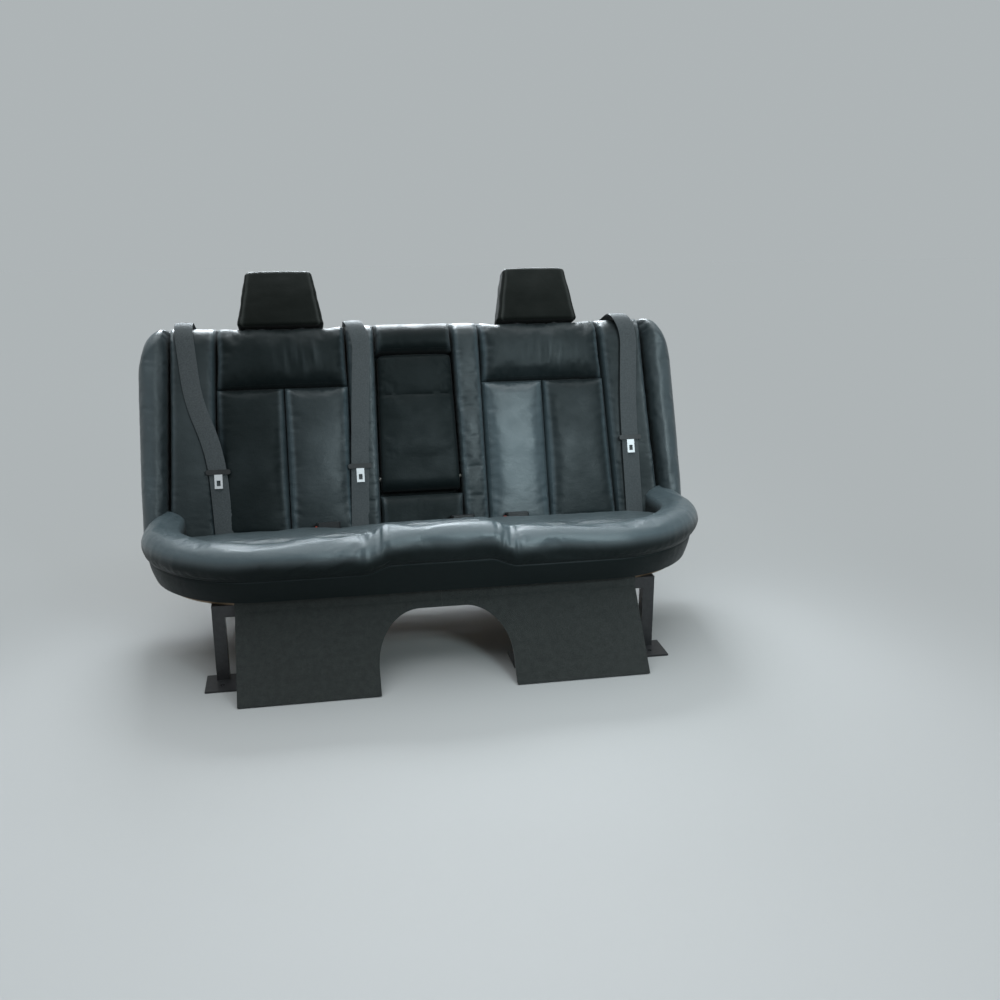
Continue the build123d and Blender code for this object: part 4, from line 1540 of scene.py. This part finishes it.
def make_belts() -> list:
    """The three belts, placed as shares of the pads they lie on.

    Returns:
        Belts from left to right.
    """
    left = ((0.66, -0.07), (0.66, 0.03), (0.53, 0.35), (0.20, 0.55), (0.07, 0.70))
    center = ((0.94, -0.14), (0.92, -0.05), (0.78, 0.08), (0.845, 0.38), (0.90, 0.70))
    right = ((0.41, -0.14), (0.43, -0.05), (0.66, 0.08), (0.54, 0.43), (0.53, 0.62))
    return [
        Belt("left", Side.LEFT, 0.538, 0.122, left, end=-0.02, shoulder=0.030, foot=0.006),
        Belt("center", Side.LEFT, 0.0, 0.187, center, end=0.95, shoulder=0.0135, foot=0.004),
        Belt("right", Side.RIGHT, 0.538, 0.122, right, end=0.53, shoulder=0.030, foot=0.018),
    ]


@dataclass
class BuckleStraps:
    """Short straps that come up out of the bight and hold the buckles."""

    places: tuple = (-0.218, 0.149, 0.302)
    width: float = 0.024
    thickness: float = 0.002
    reach: float = 0.042
    above: float = 0.0022
    out: float = 0.0016
    bend: float = 0.009
    deck: float = 0.211

    def build(self, shop: Workshop) -> None:
        """Makes the straps.

        Formula: each runs forward along the seat, bends at the bight and goes down along the face.

        Args:
            shop: The shared finishes and solver.
        """
        low = (self.deck - BIGHT_Z) / COS
        corners = [
            (BIGHT_Y - self.reach, BIGHT_Z + self.reach * SEAT_SLOPE + self.above),
            (BIGHT_Y - self.out / COS, BIGHT_Z + self.above),
            (BIGHT_Y + low * SIN - self.out * COS, self.deck),
        ]
        path = rounded_route(corners, self.bend, 0.002)
        slope = np.gradient(path, axis=0)
        normal = np.column_stack([0 * slope[:, 0], -slope[:, 1], slope[:, 0]])
        curl = np.full(len(path), 0.0004)
        for k, place in enumerate(self.places, start=1):
            line = np.column_stack([np.full(len(path), place), path])
            obj = ribbon(f"buckle_strap_{k}", line, normal, self.width, self.thickness, curl)
            shop.hang(obj, "webbing", "bench", ("buckle_straps",))


@dataclass(frozen=True)
class HardParts:
    """Frame, boards, reels and fittings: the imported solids, dressed and with broken edges."""

    edge: float = 0.0006
    coarse_edge: float = 0.0015
    coarse: tuple = ("floor_legs", "front_rail", "rear_rail", "cross_rails", "back_uprights", "top_rail")

    def dress(self, frame: dict, shop: Workshop) -> None:
        """Gives every shown solid its slot's finish and a narrow bevel.

        Args:
            shop: The shared finishes and solver.
        """
        slots = {row["node"]: row["material_slot"] for row in frame["record"]["subparts"]}
        shown = [obj for obj in frame["nodes"].values() if not obj.hide_render]
        for obj in shown:
            shop.finishes[slots[obj.name]].dress(obj)
            bevel = obj.modifiers.new("edge", "BEVEL")
            bevel.width = self.coarse_edge if obj.name in self.coarse else self.edge
            bevel.segments = 2
            bevel.limit_method = "ANGLE"
            bevel.angle_limit = math.radians(50)
            bevel.harden_normals = True
        log.info("dressed %d solids", len(shown))


# Studio


def add_light(name: str, kind: str, power: float, color: tuple) -> Object:
    """Adds a light to the scene.

    Args:
        name: Name of the light.
        kind: Blender's name of its kind.
        power: Watts, or watts to a square metre for a sun.
        color: Its colour.

    Returns:
        The light, at the origin.
    """
    data = bpy.data.lights.new(name, kind)
    data.energy, data.color = power, color
    obj = bpy.data.objects.new(name, data)
    bpy.context.scene.collection.objects.link(obj)
    return obj


@dataclass(frozen=True)
class Lamp:
    """Soft rectangular light that looks at a point."""

    name: str
    place: tuple
    target: tuple
    size: tuple
    power: float
    spread: float
    color: tuple = (0.86, 0.94, 1.0)

    def build(self) -> None:
        """Adds the light."""
        obj = add_light(self.name, "AREA", self.power, self.color)
        obj.data.shape = "RECTANGLE"
        obj.data.size, obj.data.size_y = self.size
        obj.data.spread = math.radians(self.spread)
        obj.location = self.place
        towards = Vector(self.target) - Vector(self.place)
        obj.rotation_euler = towards.to_track_quat("-Z", "Y").to_euler()


@dataclass(frozen=True)
class Studio:
    """Pale floor, even surroundings, soft lights and the photo's camera."""

    lens: float = 37.8
    eye: tuple = (-0.3063, -2.6601, 1.1571)
    yaw: float = 10.64
    pitch: float = -16.51
    roll: float = -0.03
    floor: tuple = (0.52, 0.515, 0.51)
    floor_half: float = 14.0
    air: tuple = (0.80, 0.95, 1.0)
    fill: float = 0.13
    distance: tuple = (0.424, 0.458, 0.469)
    sky: float = 2.5
    sky_color: tuple = (0.90, 0.97, 1.0)
    sky_spread: float = 85.0
    lamps: tuple = (
        Lamp("rear_window", (0.0, 1.35, 1.35), (0.0, 0.28, 0.82), (1.7, 0.4), 4.4, 45.0),
        Lamp("rear_high", (0.0, 1.35, 1.75), (0.0, 0.0, 0.56), (1.7, 0.5), 4.6, 50.0),
        Lamp(
            "front_right", (0.73, -1.94, 1.49), (0.27, 0.18, 0.45), (0.42, 0.5), 2.2, 60.0,
            (0.76, 0.95, 1.0),
        ),
    )

    def camera(self) -> None:
        """Adds the camera and makes it the scene's.

        Formula: the view direction follows from yaw and pitch; right is level, up is square to both,
        and both turn about the view by the roll.
        """
        yaw, pitch, roll = (math.radians(v) for v in (self.yaw, self.pitch, self.roll))
        run = math.cos(pitch)
        forward = Vector((math.sin(yaw) * run, math.cos(yaw) * run, math.sin(pitch)))
        level = Vector((math.cos(yaw), -math.sin(yaw), 0.0))
        up = level.cross(forward)
        right = level * math.cos(roll) + up * math.sin(roll)
        top = up * math.cos(roll) - level * math.sin(roll)
        data = bpy.data.cameras.new("photo_camera")
        data.lens, data.sensor_width, data.clip_end = self.lens, 36.0, 60.0
        obj = bpy.data.objects.new("photo_camera", data)
        obj.matrix_world = Matrix((right, top, -forward)).transposed().to_4x4()
        obj.location = self.eye
        bpy.context.scene.collection.objects.link(obj)
        bpy.context.scene.camera = obj

    def ground(self) -> None:
        """Adds the floor."""
        corners = self.floor_half * np.array([(-1, -1, 0), (1, -1, 0), (1, 1, 0), (-1, 1, 0)])
        obj = new_object("studio_floor", corners, [[0, 1, 2, 3]], smooth_shade=False)
        look = Shader("studio_floor", self.floor, 0.9)
        look.set("Specular IOR Level", 0.0)
        look.dress(obj)

    def surroundings(self) -> None:
        """Sets an even light from all round, and a brighter plain tone that is seen and mirrored."""
        world = bpy.data.worlds.new("studio")
        world.use_nodes = True
        nodes, link = world.node_tree.nodes, world.node_tree.links.new
        even, seen = nodes["Background"], nodes.new("ShaderNodeBackground")
        even.inputs["Color"].default_value = (*self.air, 1.0)
        even.inputs["Strength"].default_value = self.fill
        seen.inputs["Color"].default_value = (*self.distance, 1.0)
        path = nodes.new("ShaderNodeLightPath")
        share = path.outputs["Is Camera Ray"]
        for kind in ("Is Glossy Ray", "Is Transmission Ray"):
            either = nodes.new("ShaderNodeMath")
            link(share, either.inputs[0])
            link(path.outputs[kind], either.inputs[1])
            share = either.outputs[0]
        mix = nodes.new("ShaderNodeMixShader")
        for socket, source in zip(mix.inputs, (share, even.outputs[0], seen.outputs[0])):
            link(source, socket)
        link(mix.outputs[0], nodes["World Output"].inputs["Surface"])
        bpy.context.scene.world = world
        bpy.context.scene.view_settings.view_transform = "Standard"

    def build(self) -> None:
        """Sets up the whole studio, with a wide, soft sky that shines almost straight down."""
        self.camera()
        self.ground()
        self.surroundings()
        sky = add_light("sky", "SUN", self.sky, self.sky_color)
        sky.data.angle = math.radians(self.sky_spread)
        sky.rotation_euler = (math.radians(-8), 0.0, 0.0)
        for lamp in self.lamps:
            lamp.build()


def main() -> None:
    """Builds the looks in order and reports each sub-assembly."""
    logging.basicConfig(level=logging.INFO, format="%(name)s: %(message)s", stream=sys.stdout)
    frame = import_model()
    shop = Workshop(make_finishes(), CoverSim())
    parts = [Cushion(), CenterPlace(), Armrest()]
    parts += [kind(side) for side in Side for kind in (OuterPlace, Wing, Bolster, Headrest)]
    parts += make_belts() + [BuckleStraps()]
    for part in parts:
        log.info("building %s", type(part).__name__)
        part.build(shop)
    shop.covers.run()
    HardParts().dress(frame, shop)
    Studio().build()


if __name__ == "__main__":
    main()
